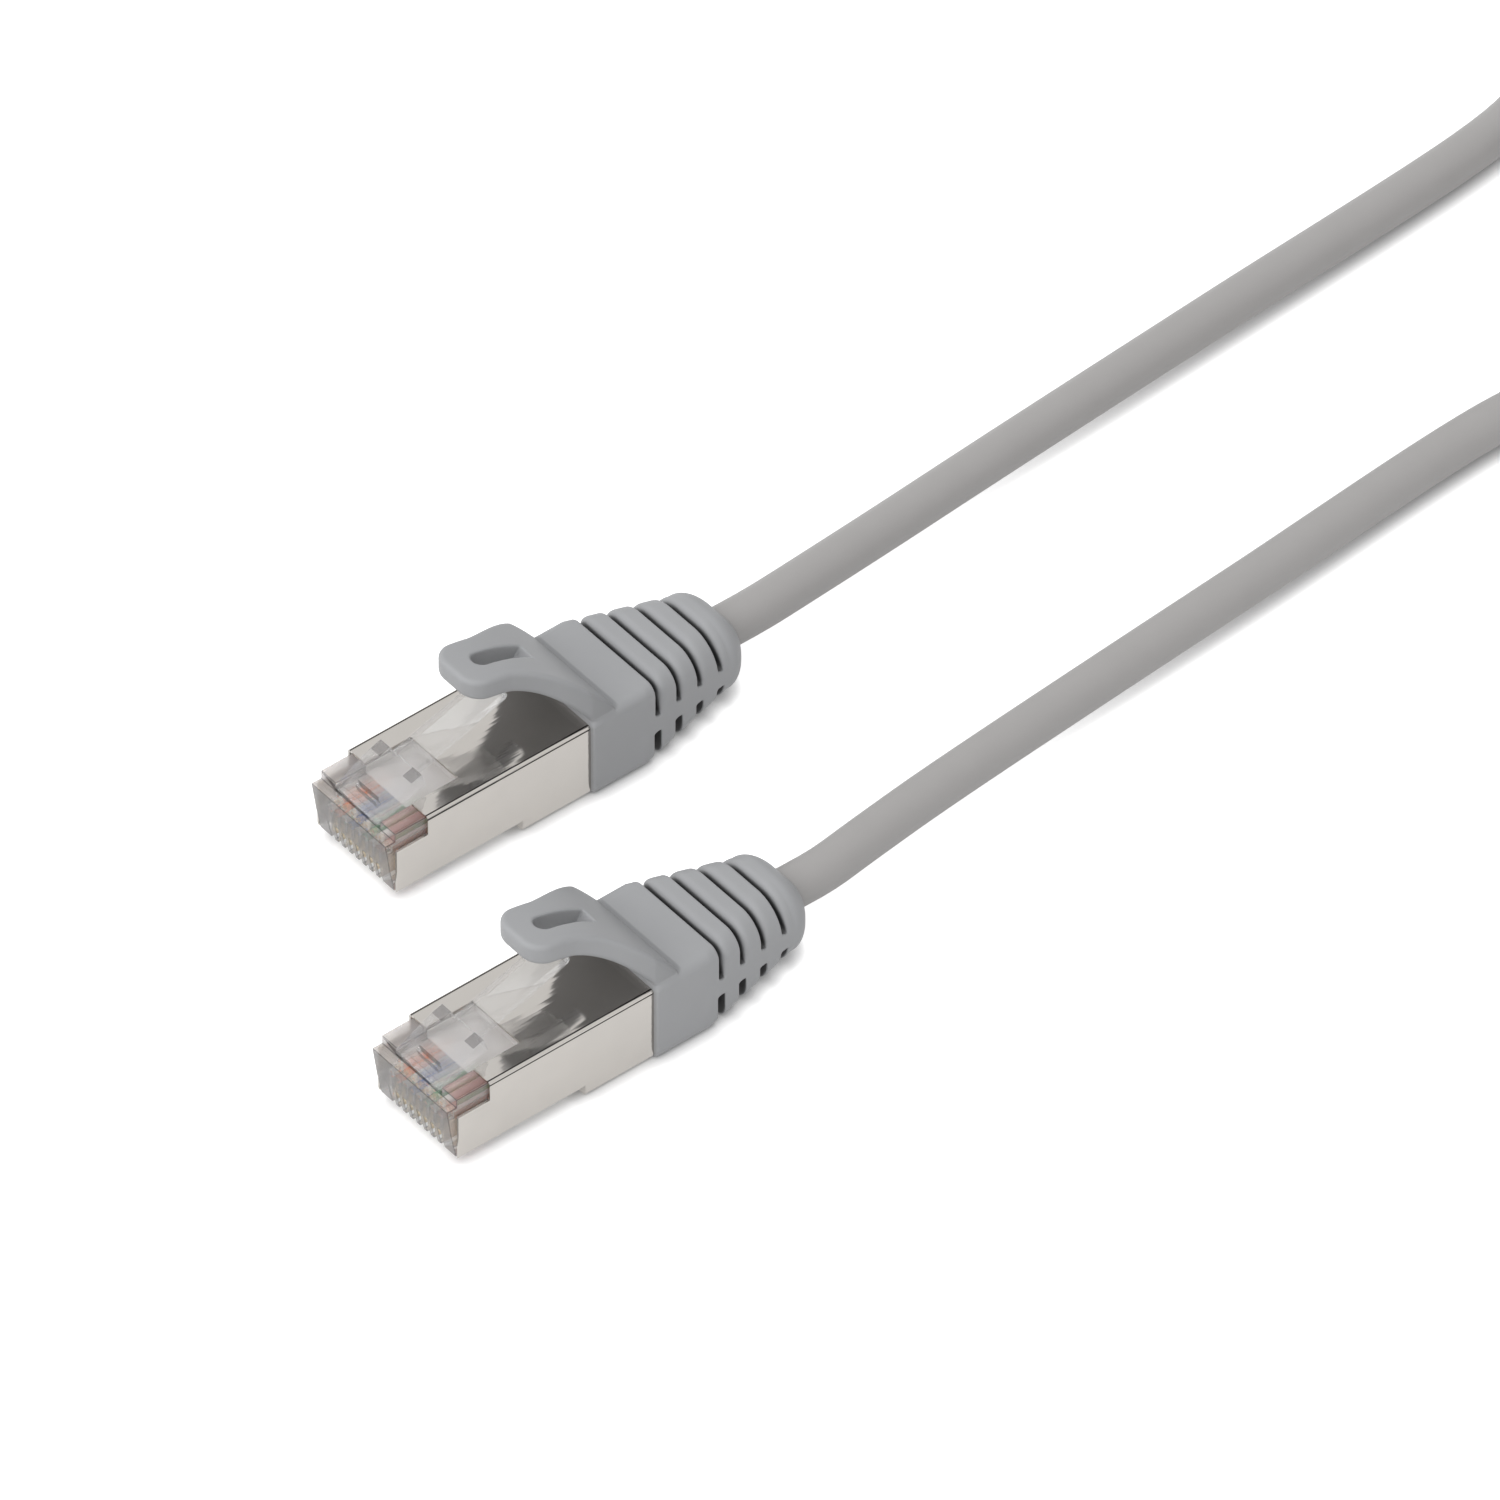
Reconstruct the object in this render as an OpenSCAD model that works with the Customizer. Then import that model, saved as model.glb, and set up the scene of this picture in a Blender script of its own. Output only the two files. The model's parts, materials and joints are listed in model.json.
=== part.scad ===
// Shielded network patch cable: two eight-way modular plugs in moulded boots, joined
// by a round cable whose spare length lies in a flat coil behind them.
// Both plugs point along -Y with their latches up, and z = 0 is the surface below.

/* [Ends] */
// Distance between the two plugs' centre lines
end_gap = 30.9; // [20:0.1:60]
// How far plug b stands in front of plug a
end_stagger = 17.4; // [0:0.1:40]

/* [Shield] */
// Outer width of the metal shield
shield_w = 11.9; // [11.6:0.05:12.3]
// Length of the metal shield
shield_len = 23; // [22.5:0.1:26]
// Height of the shield's front part
shield_front_h = 7.5; // [7.3:0.05:8]
// Height of the shield's rear part
shield_rear_h = 8.5; // [8.4:0.05:9.2]
// Length of the shield's front part
shield_front_len = 14.9; // [12:0.1:17]
// Thickness of the shield's sheet
sheet = 0.25; // [0.15:0.01:0.3]
// Rounding of the shield's long edges
shield_edge_r = 0.35; // [0.35:0.05:0.8]
// Length of the open corners at the shield's front
window_len = 3.7; // [2:0.1:5]
// Depth of the open corners below the shield's top
window_h = 2.2; // [1:0.1:3]
// Length of the crimped collar behind the shield
collar_len = 5.5; // [3:0.1:7]
// Running gap between the collar and the cable
collar_gap = 0.15; // [0.1:0.01:0.3]

/* [Plug body] */
// How far the clear nose stands in front of the shield
nose_proud = 1; // [0.6:0.1:1.5]
// How far the nose's face leans forward from bottom to top
nose_lean = 1; // [0:0.1:1.4]
// Height of the low ledge across the nose, above the contact side
nose_h = 6.2; // [5.8:0.05:6.4]
// Length of the low ledge
ledge_len = 1.15; // [0.6:0.05:1.6]
// Gap between the plug body and the sheet above and below it
body_fit = 0.1; // [0.05:0.01:0.2]
// Gap between the plug body and the sheet at each side
body_side_fit = 0.2; // [0.1:0.01:0.25]
// Width of the channel that the latch drops into
channel_w = 6.6; // [6.5:0.1:7]
// Length of the channel
channel_len = 10.4; // [10:0.1:12]
// Depth of the channel below the body's top
channel_d = 0.85; // [0.6:0.05:1]

/* [Contacts and wires] */
// Distance between neighbouring contacts
pitch = 1.02; // [1:0.01:1.04]
// Thickness of a contact blade
blade_t = 0.32; // [0.25:0.01:0.36]
// Length of a contact blade
blade_len = 5; // [4:0.1:5.2]
// Depth of the contacts inside their slots
blade_inset = 0.5; // [0.3:0.05:0.7]
// Outer diameter of an insulated wire
wire_d = 0.84; // [0.76:0.01:0.86]
// Diameter of the copper inside a wire
core_d = 0.44; // [0.3:0.01:0.5]
// Height of the row of wires above the contact side
row_h = 4.2; // [4:0.05:4.4]
// Length of the bar that spaces the wires
bar_len = 4; // [2:0.1:4.2]

/* [Cable] */
// Outer diameter of the cable
cable_d = 4.4; // [4.3:0.05:4.6]
// Thickness of the cable's jacket
jacket_t = 0.4; // [0.3:0.01:0.42]
// Thickness of the foil around the wires
foil_t = 0.05; // [0.03:0.01:0.06]
// Diameter of the bare drain wire
drain_d = 0.4; // [0.3:0.01:0.6]

/* [Latch] */
// Width of the latch at its locking shoulders
latch_w = 6.2; // [6:0.05:6.3]
// Width of the latch's arm
arm_w = 3.25; // [3:0.05:3.6]
// Thickness of the arm
arm_t = 1; // [0.8:0.05:1.1]
// Length from the hinge line to the arm's tip
latch_len = 17; // [16:0.1:17.2]
// Length from the hinge line to the locking shoulders
shoulder_len = 5.55; // [5:0.05:6]
// How far the shoulders rise above the arm
shoulder_rise = 0.6; // [0.3:0.05:0.7]
// Angle at which the free latch stands up
latch_angle = 18.1; // [17.5:0.1:18.6]

/* [Boot] */
// Width of the boot's front block
boot_w = 12.9; // [12.4:0.05:13.4]
// Height of the boot's front block
boot_h = 9.6; // [9.4:0.05:10.2]
// Length of the boot's front block
block_len = 7.45; // [6.5:0.05:8.5]
// Rounding of the block's long edges
block_edge_r = 1; // [0.5:0.05:1.5]
// Thickness of the boot below the shield
boot_under = 0.2; // [0.1:0.05:0.4]
// Width of each flexing slot
slot_w = 0.65; // [0.4:0.05:0.9]
// Depth of each flexing slot
slot_depth = 1.4; // [0.8:0.05:1.6]
// Distance from one slot to the next
slot_pitch = 2.75; // [2.5:0.05:3]
// Number of slots
slot_count = 4; // [3:1:4]
// Length of the round tail behind the last slot
tail_len = 4.05; // [3.6:0.05:5]
// Width of the tail
tail_w = 10; // [9:0.1:10.4]
// Height of the tail
tail_h = 8.8; // [8.4:0.1:9.2]
// Height of the bridges that join the ribs at each side
bridge_h = 2.1; // [1.5:0.1:2.6]

/* [Latch guard] */
// Thickness of the guard
guard_t = 2.3; // [2:0.05:2.4]
// Width of the guard's tab
tab_w = 6.6; // [5:0.1:7]
// Distance from the guard's tip to the hole
hole_inset = 2.6; // [2.2:0.1:3]
// Length of the tab's hole
tab_hole_len = 4.6; // [2:0.1:5]
// Width of the tab's hole
tab_hole_w = 1.9; // [1:0.1:2.4]
// Reach of the guard in front of its hinge line
guard_reach = 13.6; // [13:0.1:13.8]
// Rise of the guard above its hinge line
guard_rise = 8.5; // [7.8:0.05:8.8]

/* [Hidden] */
ENDS = ["a", "b"];
COLOURS = ["white_orange", "orange", "white_green", "blue",
           "white_blue", "green", "white_brown", "brown"];
TINTS = [[0.93, 0.75, 0.6], [0.93, 0.45, 0.15], [0.75, 0.88, 0.75], [0.15, 0.35, 0.75],
         [0.7, 0.78, 0.92], [0.15, 0.55, 0.25], [0.82, 0.72, 0.66], [0.45, 0.25, 0.15]];
PIECES = ["shield", "plug_body", "latch", "contacts", "load_bar", "copper_cores",
          "foil_wrap", "drain_wire", "jacket_end", "boot", "latch_guard"];

$fn = 48;
past = 1;                 // overrun of a cutting tool
slice_t = 0.01;           // thickness of the slices that a hull joins
wires = len(COLOURS);

// Shield, seen from the side: y runs back from the nose, z up from the surface
shield_y0 = nose_proud;
shield_y1 = shield_y0 + shield_len;
step_y = shield_y0 + shield_front_len;
shield_z0 = boot_under;
shield_top = shield_z0 + shield_rear_h;
contact_z = shield_top - shield_front_h;
inner_w = shield_w - 2 * sheet;
contact_opening_len = 7.5;
mouth_w = 7;              // width of the cut-out over the latch channel
mouth_gap = 0.2;          // the cut-out ends this far before the channel

// Plug body
body_w = inner_w - 2 * body_side_fit;
body_top = shield_top - sheet - body_fit;
body_back_gap = 0.35;
body_y1 = shield_y1 - sheet - body_back_gap;
lift = sheet + body_fit;
nose_z = contact_z + nose_h;
channel_z = body_top - channel_d;
nose_bulge_h = 2.65;      // height where the leaning face is half way out
face_slot_drop = 0.3;     // the slots in the face end this far below that height

// Wires and contacts
row_z = contact_z + row_h;
wire_y0 = 1.7;
bar_y0 = 7;
bar_y1 = bar_y0 + bar_len;
bar_wall = 0.43;
bar_hole_gap = 0.04;
bar_w = wires * pitch + 2 * bar_wall;
bar_h = wire_d + 2 * bar_wall;
bar_hole_r = wire_d / 2 + bar_hole_gap;
bar_gap = 0.1;
core_gap = 0.02;
fan_y0 = 11.2;
fan_y1 = 14.6;
fan_y2 = 18.6;
fan_side = 0.35;          // share of the way in, at the fan's middle
fan_up = 0.8;             // share of the way up, at the fan's middle
bundle_r = 1.2;
wire_sides = 10;
blade_y0 = 0.9;
blade_side_gap = 0.08;
blade_slot_w = blade_t + 2 * blade_side_gap;
blade_corner_r = 0.4;
blade_end_gap = 0.3;
tooth_y0 = 2;
tooth_y1 = 4.6;
tooth_gap = 0.03;

// Cable, where it passes through the plug and the boot
boot_y0 = shield_y1;
boot_y1 = boot_y0 + block_len + (slot_count - 1) * slot_pitch + slot_w + tail_len;
cable_z = 4.6;
cable_r = cable_d / 2;
jacket_y0 = 20.5;
foil_y0 = 19;
foil_y1 = 27;
foil_gap = 0.04;
collar_r = cable_r + collar_gap;
boot_gap = 0.05;
wire_end_gap = 0.05;      // wires stop this far inside the boot's rear face

// Latch hinge line: a living hinge, here a round root that turns over the ledge
latch_y = 1.4;
latch_seat = 0.1;
latch_root_r = 0.55;
shoulder_ramp = 1.3;      // length of the slope in front of the locking shoulders
latch_z = 8.3;
root_slot_w = 3.1;
root_slot_y = 0.8;
root_slot_len = 0.45;

// Boot sections along y: the block's shape blends into the tail's
taper_y0 = boot_y0 + block_len - (slot_pitch - slot_w) / 2;
taper_len = slot_count * slot_pitch;
tail_y0 = boot_y1 - tail_len;
rib_edge = 0.35;
tail_flat = 0.2;          // half the flat left on the tail's sides
tail_edge_r = min(tail_w, tail_h) / 2 - tail_flat;
tail_round = 1.9;         // how far the tail draws in at its rear face
tail_round_len = 3;       // length over which it draws in
least_edge_r = 0.05;

// Latch guard hinge line: the guard's root turns in a round seat in the boot
guard_setback = 1.85;     // the hinge line lies this far behind the boot's front
guard_y = boot_y0 + guard_setback;
guard_z = 9;
guard_r = 1.3;
guard_seat = 0.12;
guard_lip_drop = 0.6;     // the boot's front lip lies this far below the hinge line
guard_steps = 14;
guard_side_gap = 0.15;    // the root is narrower than the block by this at each side
guard_flare_power = 1.4;  // how late the tab's sides flare out to the root
arch_foot = [-0.27, 0.59];   // the arch's handles, as shares of its reach and rise
arch_crown = [0.51, -0.08];
guard_root_w = boot_w - 2 * guard_side_gap;
guard_flare_y = 16.6;     // the tab's sides run straight in front of this
guard_tip_r = 2.2;

// The whole plugs and boots lie centred on the origin
half_len = (boot_y1 + end_stagger) / 2;
end_x = [-end_gap / 2, end_gap / 2];
end_y = [end_stagger - half_len, -half_len];

// Free cable: points along each run, first from its boot and then from the coil
exit_a = [end_x[0], end_y[0] + boot_y1, cable_z];
exit_b = [end_x[1], end_y[1] + boot_y1, cable_z];
near_a = [[0, 0, 0], [0, 4.6, 0], [-0.45, 11.1, -0.1], [-1.35, 21.1, -0.4],
          [-2.85, 37.1, -0.8], [-5.25, 64.1, -1.5]];
near_b = [[0, 0, 0], [0, 4.5, 0], [-0.8, 10.5, -0.1], [-1.95, 19.5, -0.3],
          [-3.5, 34.5, -0.7], [-5.9, 59.5, -1.4], [-8.85, 92.5, -2.2]];
far_a = [[9.1, -38, 0.1], [6.2, -26, 0], [2.4, -16, 0], [0.2, -7, 0], [0, 0, 0]];
far_b = [[-12.6, -45, -4.6], [-7.2, -30, -2.8], [-1.9, -16, -0.5], [0, -7, 0], [0, 0, 0]];
run_sides = 10;
run_steps_a = [1, 1, 1, 2, 3, 3, 2, 1, 1, 1];
run_steps_b = [1, 1, 1, 2, 3, 3, 2, 2, 2, 1, 1];
coil_centre = [-5.5, 171];
coil_r = 27.1;              // first and last loop, to the cable's middle
coil_pitch = 5;           // inward step of each loop
coil_turns = 4.5;
coil_layer = 4.9;         // rise from the lower layer to the upper one
coil_floor = 2.2;
coil_lead = 5;            // straight length at each end of the coil
coil_sides = 6;
coil_rings = 24;          // rings in one loop

// Straight blend from a to b
function mix(a, b, t) = a + (b - a) * t;
// Blend that starts and ends level
function ease(t) = let (c = max(0, min(1, t))) c * c * (3 - 2 * c);
function unit(v) = v / norm(v);

// Smooth curve through points: position at share t of the way from point i to the next
function through(p, i, t) =
    let (n = len(p) - 1,
         a = i == 0 ? 2 * p[0] - p[1] : p[i - 1],
         d = i + 2 > n ? 2 * p[n] - p[n - 1] : p[i + 2])
    0.5 * (2 * p[i] + (p[i + 1] - a) * t
        + (2 * a - 5 * p[i] + 4 * p[i + 1] - d) * t * t
        + (3 * p[i] - a - 3 * p[i + 1] + d) * t * t * t);

function route(p, steps) = concat(
    [for (i = [0:len(p) - 2]) for (k = [0:steps[i] - 1]) through(p, i, k / steps[i])],
    [p[len(p) - 1]]);

// Direction of a path at its ring i, square to y at both ends
function heading(path, i, first, last) =
    i == 0 ? first : i == len(path) - 1 ? last : unit(path[i + 1] - path[i - 1]);

// Corners of one ring round a path, with one corner at the bottom
function ring(p, dir, r, sides) =
    let (side = unit(cross(dir, [0, 0, 1])), up = cross(side, dir))
    [for (k = [0:sides - 1]) let (a = 270 + k * 360 / sides) p + r * (cos(a) * side + sin(a) * up)];

// One closed tube along a path
module tube(path, r, sides, first = [0, 1, 0], last = [0, 1, 0]) {
    n = len(path);
    points = [for (i = [0:n - 1]) each ring(path[i], heading(path, i, first, last), r, sides)];
    walls = [for (i = [0:n - 2]) for (k = [0:sides - 1])
        let (a = i * sides + k, b = i * sides + (k + 1) % sides)
        each [[a, b, b + sides], [a, b + sides, a + sides]]];
    front = [for (k = [1:sides - 2]) [0, k + 1, k]];
    back = [for (k = [1:sides - 2]) let (o = (n - 1) * sides) [o, o + k, o + k + 1]];
    polyhedron(points, concat(walls, front, back));
}

// Outline drawn in (x, z), made into a solid from y0 to y1
module along_y(y0, y1) {
    translate([0, y1, 0]) rotate([90, 0, 0]) linear_extrude(y1 - y0) children();
}

// Outline drawn in (y, z), made into a solid of width w about x = 0
module across(w) {
    rotate([90, 0, 90]) linear_extrude(w, center = true) children();
}

// Box between two corners
module block(a, b) {
    translate(a) cube(b - a);
}

// Rod along y at the height z
module rod(y0, y1, r, z, x = 0) {
    translate([x, y0, z]) rotate([-90, 0, 0]) cylinder(h = y1 - y0, r = r);
}

// Rectangle from z0 to z1 about x = 0, with round corners
module round_rect(w, z0, z1, r) {
    translate([-w / 2 + r, z0]) square([w - 2 * r, z1 - z0]);
    translate([-w / 2, z0 + r]) square([w, z1 - z0 - 2 * r]);
    for (x = [-w / 2 + r, w / 2 - r])
        for (z = [z0 + r, z1 - r])
            translate([x, z]) circle(r);
}

// Sheet metal shield with its crimped collar
module shield() {
    r_in = shield_edge_r - sheet;
    color([0.78, 0.77, 0.75])
    difference() {
        union() {
            along_y(shield_y0, shield_y1) round_rect(shield_w, contact_z, shield_top, shield_edge_r);
            along_y(step_y, shield_y1) round_rect(shield_w, shield_z0, shield_top, shield_edge_r);
            rod(shield_y1 - sheet, shield_y1 + collar_len, collar_r + sheet, cable_z);
        }
        along_y(shield_y0 - past, shield_y1 - sheet)
            round_rect(inner_w, contact_z + sheet, shield_top - sheet, r_in);
        along_y(step_y + sheet, shield_y1 - sheet)
            round_rect(inner_w, shield_z0 + sheet, shield_top - sheet, r_in);
        rod(shield_y1 - past, shield_y1 + collar_len + past, collar_r, cable_z);
        // open corners and front edge
        block([-shield_w, shield_y0 - past, shield_top - window_h],
              [shield_w, shield_y0 + window_len, shield_top + past]);
        // contact side
        block([-inner_w / 2, shield_y0 - past, contact_z - past],
              [inner_w / 2, shield_y0 + contact_opening_len, contact_z + 2 * sheet]);
        // cut-out over the latch channel
        block([-mouth_w / 2, shield_y0, shield_top - 2 * sheet],
              [mouth_w / 2, channel_len - mouth_gap, shield_top + past]);
    }
}

// Clear moulding that holds the wires, the contacts and the latch
module plug_body() {
    nose_y = nose_proud - nose_lean;
    cavity_w = bar_w + 2 * bar_gap;
    color([0.86, 0.9, 0.93, 0.45])
    difference() {
        across(body_w) polygon([
            [nose_proud, contact_z],
            [nose_proud - nose_lean / 2, contact_z + nose_bulge_h],
            [nose_y, nose_z],
            [nose_y + ledge_len, nose_z],
            [nose_y + ledge_len, body_top],
            [body_y1, body_top],
            [body_y1, shield_z0 + lift],
            [step_y + lift, shield_z0 + lift],
            [step_y + lift, contact_z + lift],
            [shield_y0 + contact_opening_len - body_fit, contact_z + lift],
            [shield_y0 + contact_opening_len - body_fit, contact_z]]);
        // latch channel, with a low seat left for the latch's root
        difference() {
            block([-channel_w / 2, nose_y - past, channel_z],
                  [channel_w / 2, channel_len, body_top + past]);
            block([-latch_w / 2, nose_y - past, channel_z - past],
                  [latch_w / 2, latch_y + latch_root_r, latch_z - latch_root_r - latch_seat]);
        }
        block([-latch_w, nose_y - past, nose_z], [latch_w, nose_y + ledge_len / 2, body_top + past]);
        // room for the row of wires, for the bar and for the cable behind it
        block([-wires * pitch / 2, wire_y0 - bar_gap, row_z - wire_d / 2 - bar_gap],
              [wires * pitch / 2, bar_y0, row_z + wire_d / 2 + bar_gap]);
        block([-cavity_w / 2, bar_y0 - bar_gap, row_z - bar_h / 2 - bar_gap],
              [cavity_w / 2, fan_y0 + bar_gap, row_z + bar_h / 2 + bar_gap]);
        block([-cavity_w / 2, fan_y0, contact_z + 2 * lift],
              [cavity_w / 2, body_y1 + past, channel_z - lift]);
        // contact slots, open below and at the face
        for (i = [0:wires - 1]) {
            x = (i - (wires - 1) / 2) * pitch;
            block([x - blade_slot_w / 2, nose_y - past, contact_z - past],
                  [x + blade_slot_w / 2, blade_y0, contact_z + nose_bulge_h - face_slot_drop]);
            block([x - blade_slot_w / 2, blade_y0 - slice_t, contact_z - past],
                  [x + blade_slot_w / 2, blade_y0 + blade_len + blade_end_gap, row_z]);
        }
    }
}

// Side outline of a contact blade: a deep foot and the teeth that reach the copper
module blade_outline() {
    foot_z = contact_z + blade_inset;
    top_z = row_z - wire_d / 2 - tooth_gap;
    foot_y = blade_y0 + blade_end_gap / 2;
    foot_len = blade_len - blade_end_gap / 2;
    r = blade_corner_r;
    translate([foot_y, foot_z + r]) square([foot_len, top_z - foot_z - r]);
    translate([foot_y + r, foot_z]) square([foot_len - r, r + slice_t]);
    translate([foot_y + r, foot_z + r]) circle(r);
    translate([tooth_y0, top_z - slice_t])
        square([tooth_y1 - tooth_y0, wire_d / 2 - core_d / 2 + slice_t]);
}

module contacts() {
    color([0.83, 0.68, 0.35])
    for (i = [0:wires - 1])
        translate([(i - (wires - 1) / 2) * pitch, 0, 0]) across(blade_t) blade_outline();
}

// Small bar that keeps the wires at the contacts' spacing
module load_bar() {
    color([0.92, 0.93, 0.94, 0.6])
    difference() {
        block([-bar_w / 2, bar_y0, row_z - bar_h / 2], [bar_w / 2, bar_y1, row_z + bar_h / 2]);
        for (i = [0:wires - 1])
            rod(bar_y0 - past, bar_y1 + past, bar_hole_r, row_z, (i - (wires - 1) / 2) * pitch);
    }
}

// Path of wire i: in its row, then fanning in to its place in the cable
function wire_path(i) =
    let (x = (i - (wires - 1) / 2) * pitch,
         a = 180 - (floor(i / 2) + 0.5) * 360 / wires,
         bx = bundle_r * cos(a),
         bz = cable_z + (i % 2 == 0 ? 1 : -1) * bundle_r * sin(a))
    [[x, wire_y0, row_z], [x, fan_y0, row_z],
     [mix(x, bx, fan_side), fan_y1, mix(row_z, bz, fan_up)],
     [bx, fan_y2, bz], [bx, boot_y1 - wire_end_gap, bz]];

// Insulation of wire i, slit where its contact comes through
module wire(i, tint) {
    x = (i - (wires - 1) / 2) * pitch;
    color(tint)
    difference() {
        tube(wire_path(i), wire_d / 2, wire_sides);
        tube(core_bore(i), core_d / 2 + core_gap, wire_sides);
        block([x - blade_slot_w / 2, tooth_y0 - tooth_gap, row_z - wire_d],
              [x + blade_slot_w / 2, tooth_y1 + tooth_gap, row_z]);
    }
}

// The core's path, run past both ends so that the bore is open
function core_bore(i) =
    let (p = wire_path(i), n = len(p) - 1)
    concat([p[0] - [0, past, 0]], [for (k = [1:n - 1]) p[k]], [p[n] + [0, past, 0]]);

module copper_cores() {
    color([0.8, 0.5, 0.3])
    for (i = [0:wires - 1]) tube(wire_path(i), core_d / 2, wire_sides);
}

module foil_wrap() {
    r = cable_r - jacket_t - foil_gap;
    color([0.75, 0.76, 0.78])
    difference() {
        rod(foil_y0, foil_y1, r, cable_z);
        rod(foil_y0 - past, foil_y1 + past, r - foil_t, cable_z);
    }
}

module drain_wire() {
    color([0.7, 0.68, 0.65]) rod(foil_y0, boot_y1 - wire_end_gap, drain_d / 2, cable_z);
}

// Cable jacket from inside the plug to the boot's rear face
module jacket_end() {
    color([0.66, 0.65, 0.65])
    difference() {
        rod(jacket_y0, boot_y1, cable_r, cable_z);
        rod(jacket_y0 - past, boot_y1 + past, cable_r - jacket_t, cable_z);
    }
}

// Thin slice of the boot at y, drawn in by inset all round
module boot_slice(y, inset) {
    t = max(0, min(1, (y - taper_y0) / taper_len));
    z0 = mix(0, cable_z - tail_h / 2, t) + inset;
    z1 = mix(boot_h, cable_z + tail_h / 2, t) - inset;
    r = max(least_edge_r, mix(block_edge_r, tail_edge_r, t) - inset);
    along_y(y, y + slice_t) round_rect(mix(boot_w, tail_w, t) - 2 * inset, z0, z1, r, $fn = 32);
}

// Moulded boot: block, ribs, round tail, and a bridge at each side
module boot() {
    rib_w = slot_pitch - slot_w;
    core_y0 = boot_y0 + block_len - past;
    core_y1 = tail_y0 + past;
    t0 = max(0, (core_y0 - taper_y0) / taper_len);
    t1 = min(1, (core_y1 - taper_y0) / taper_len);
    color([0.6, 0.61, 0.62])
    difference() {
        union() {
            hull() {
                boot_slice(boot_y0, 0);
                boot_slice(boot_y0 + block_len - rib_edge, 0);
                boot_slice(boot_y0 + block_len - slice_t, rib_edge);
            }
            for (k = [1:slot_count - 1]) {
                y = boot_y0 + block_len + slot_w + (k - 1) * slot_pitch;
                hull() {
                    boot_slice(y, rib_edge);
                    boot_slice(y + rib_edge, 0);
                    boot_slice(y + rib_w - rib_edge, 0);
                    boot_slice(y + rib_w - slice_t, rib_edge);
                }
            }
            hull() {
                boot_slice(tail_y0, rib_edge);
                boot_slice(tail_y0 + rib_edge, 0);
                for (a = [0:30:90])
                    boot_slice(boot_y1 - slice_t - tail_round_len * (1 - sin(a)),
                               tail_round * (1 - cos(a)));
            }
            hull() {
                boot_slice(core_y0, slot_depth);
                boot_slice(core_y1, slot_depth);
            }
            translate([0, 0, cable_z - bridge_h / 2]) linear_extrude(bridge_h) polygon([
                [-mix(boot_w, tail_w, t0) / 2, core_y0],
                [mix(boot_w, tail_w, t0) / 2, core_y0],
                [mix(boot_w, tail_w, t1) / 2, core_y1],
                [-mix(boot_w, tail_w, t1) / 2, core_y1]]);
        }
        rod(boot_y0 - past, boot_y1 + past, cable_r + boot_gap, cable_z);
        rod(boot_y0 - past, boot_y0 + collar_len + boot_gap, collar_r + sheet + boot_gap, cable_z);
        // seat for the guard's root
        translate([-boot_w, guard_y, guard_z]) rotate([0, 90, 0])
            cylinder(h = 2 * boot_w, r = guard_r + guard_seat);
        block([-boot_w, boot_y0 - past, guard_z],
              [boot_w, guard_y + guard_r + guard_seat, boot_h + past]);
        block([-boot_w, boot_y0 - past, guard_z - guard_lip_drop],
              [boot_w, guard_y, boot_h + past]);
    }
}

// Middle line of the guard's arch in (y, z), from its hinge line at t = 0 to its tip
function arch(t) =
    let (p0 = [guard_y, guard_z],
         p3 = [guard_y - guard_reach, guard_z + guard_rise],
         p1 = p0 + [arch_foot[0] * guard_reach, arch_foot[1] * guard_rise],
         p2 = p3 + [arch_crown[0] * guard_reach, arch_crown[1] * guard_rise],
         s = 1 - t)
    s * s * s * p0 + 3 * s * s * t * p1 + 3 * s * t * t * p2 + t * t * t * p3;

// Unit vector square to the arch, on its upper side
function arch_up(t) =
    let (d = unit(arch(min(1, t + 0.01)) - arch(max(0, t - 0.01)))) [d[1], -d[0]];

// Point on the guard's upper edge (side 1) or under it (side -1)
function arch_edge(t, side) = arch(t) + side * arch_up(t) * guard_t / 2;

// Half the guard's width at y
function guard_half(y) =
    let (t = max(0, (y - guard_flare_y) / (boot_y0 - guard_flare_y)))
    min(guard_root_w / 2, mix(tab_w / 2, guard_root_w / 2, pow(t, guard_flare_power)));

// Arched guard over the latch, with a holed tab
module latch_guard() {
    tip_y = guard_y - guard_reach;
    y1 = guard_y + guard_r;
    flare = [for (k = [0:guard_steps]) mix(tip_y + guard_tip_r, y1, k / guard_steps)];
    color([0.6, 0.61, 0.62])
    difference() {
        intersection() {
            across(boot_w + past) {
                polygon(concat(
                    [for (k = [0:guard_steps]) arch_edge(k / guard_steps, 1)],
                    [for (k = [guard_steps:-1:0]) arch_edge(k / guard_steps, -1)]));
                translate([guard_y, guard_z]) circle(guard_r);
            }
            linear_extrude(guard_z + guard_rise + guard_t + past) union() {
                polygon(concat(
                    [for (y = flare) [guard_half(y), y]],
                    [for (k = [guard_steps:-1:0]) [-guard_half(flare[k]), flare[k]]]));
                translate([-tab_w / 2 + guard_tip_r, tip_y])
                    square([tab_w - 2 * guard_tip_r, guard_tip_r + slice_t]);
                for (x = [-1, 1])
                    translate([x * (tab_w / 2 - guard_tip_r), tip_y + guard_tip_r]) circle(guard_tip_r);
            }
        }
        translate([0, tip_y + hole_inset + tab_hole_w / 2, guard_z]) {
            translate([-tab_hole_w / 2, 0, 0])
                cube([tab_hole_w, tab_hole_len - tab_hole_w / 2, 2 * guard_rise]);
            cylinder(h = 2 * guard_rise, r = tab_hole_w / 2);
        }
    }
}

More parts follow.
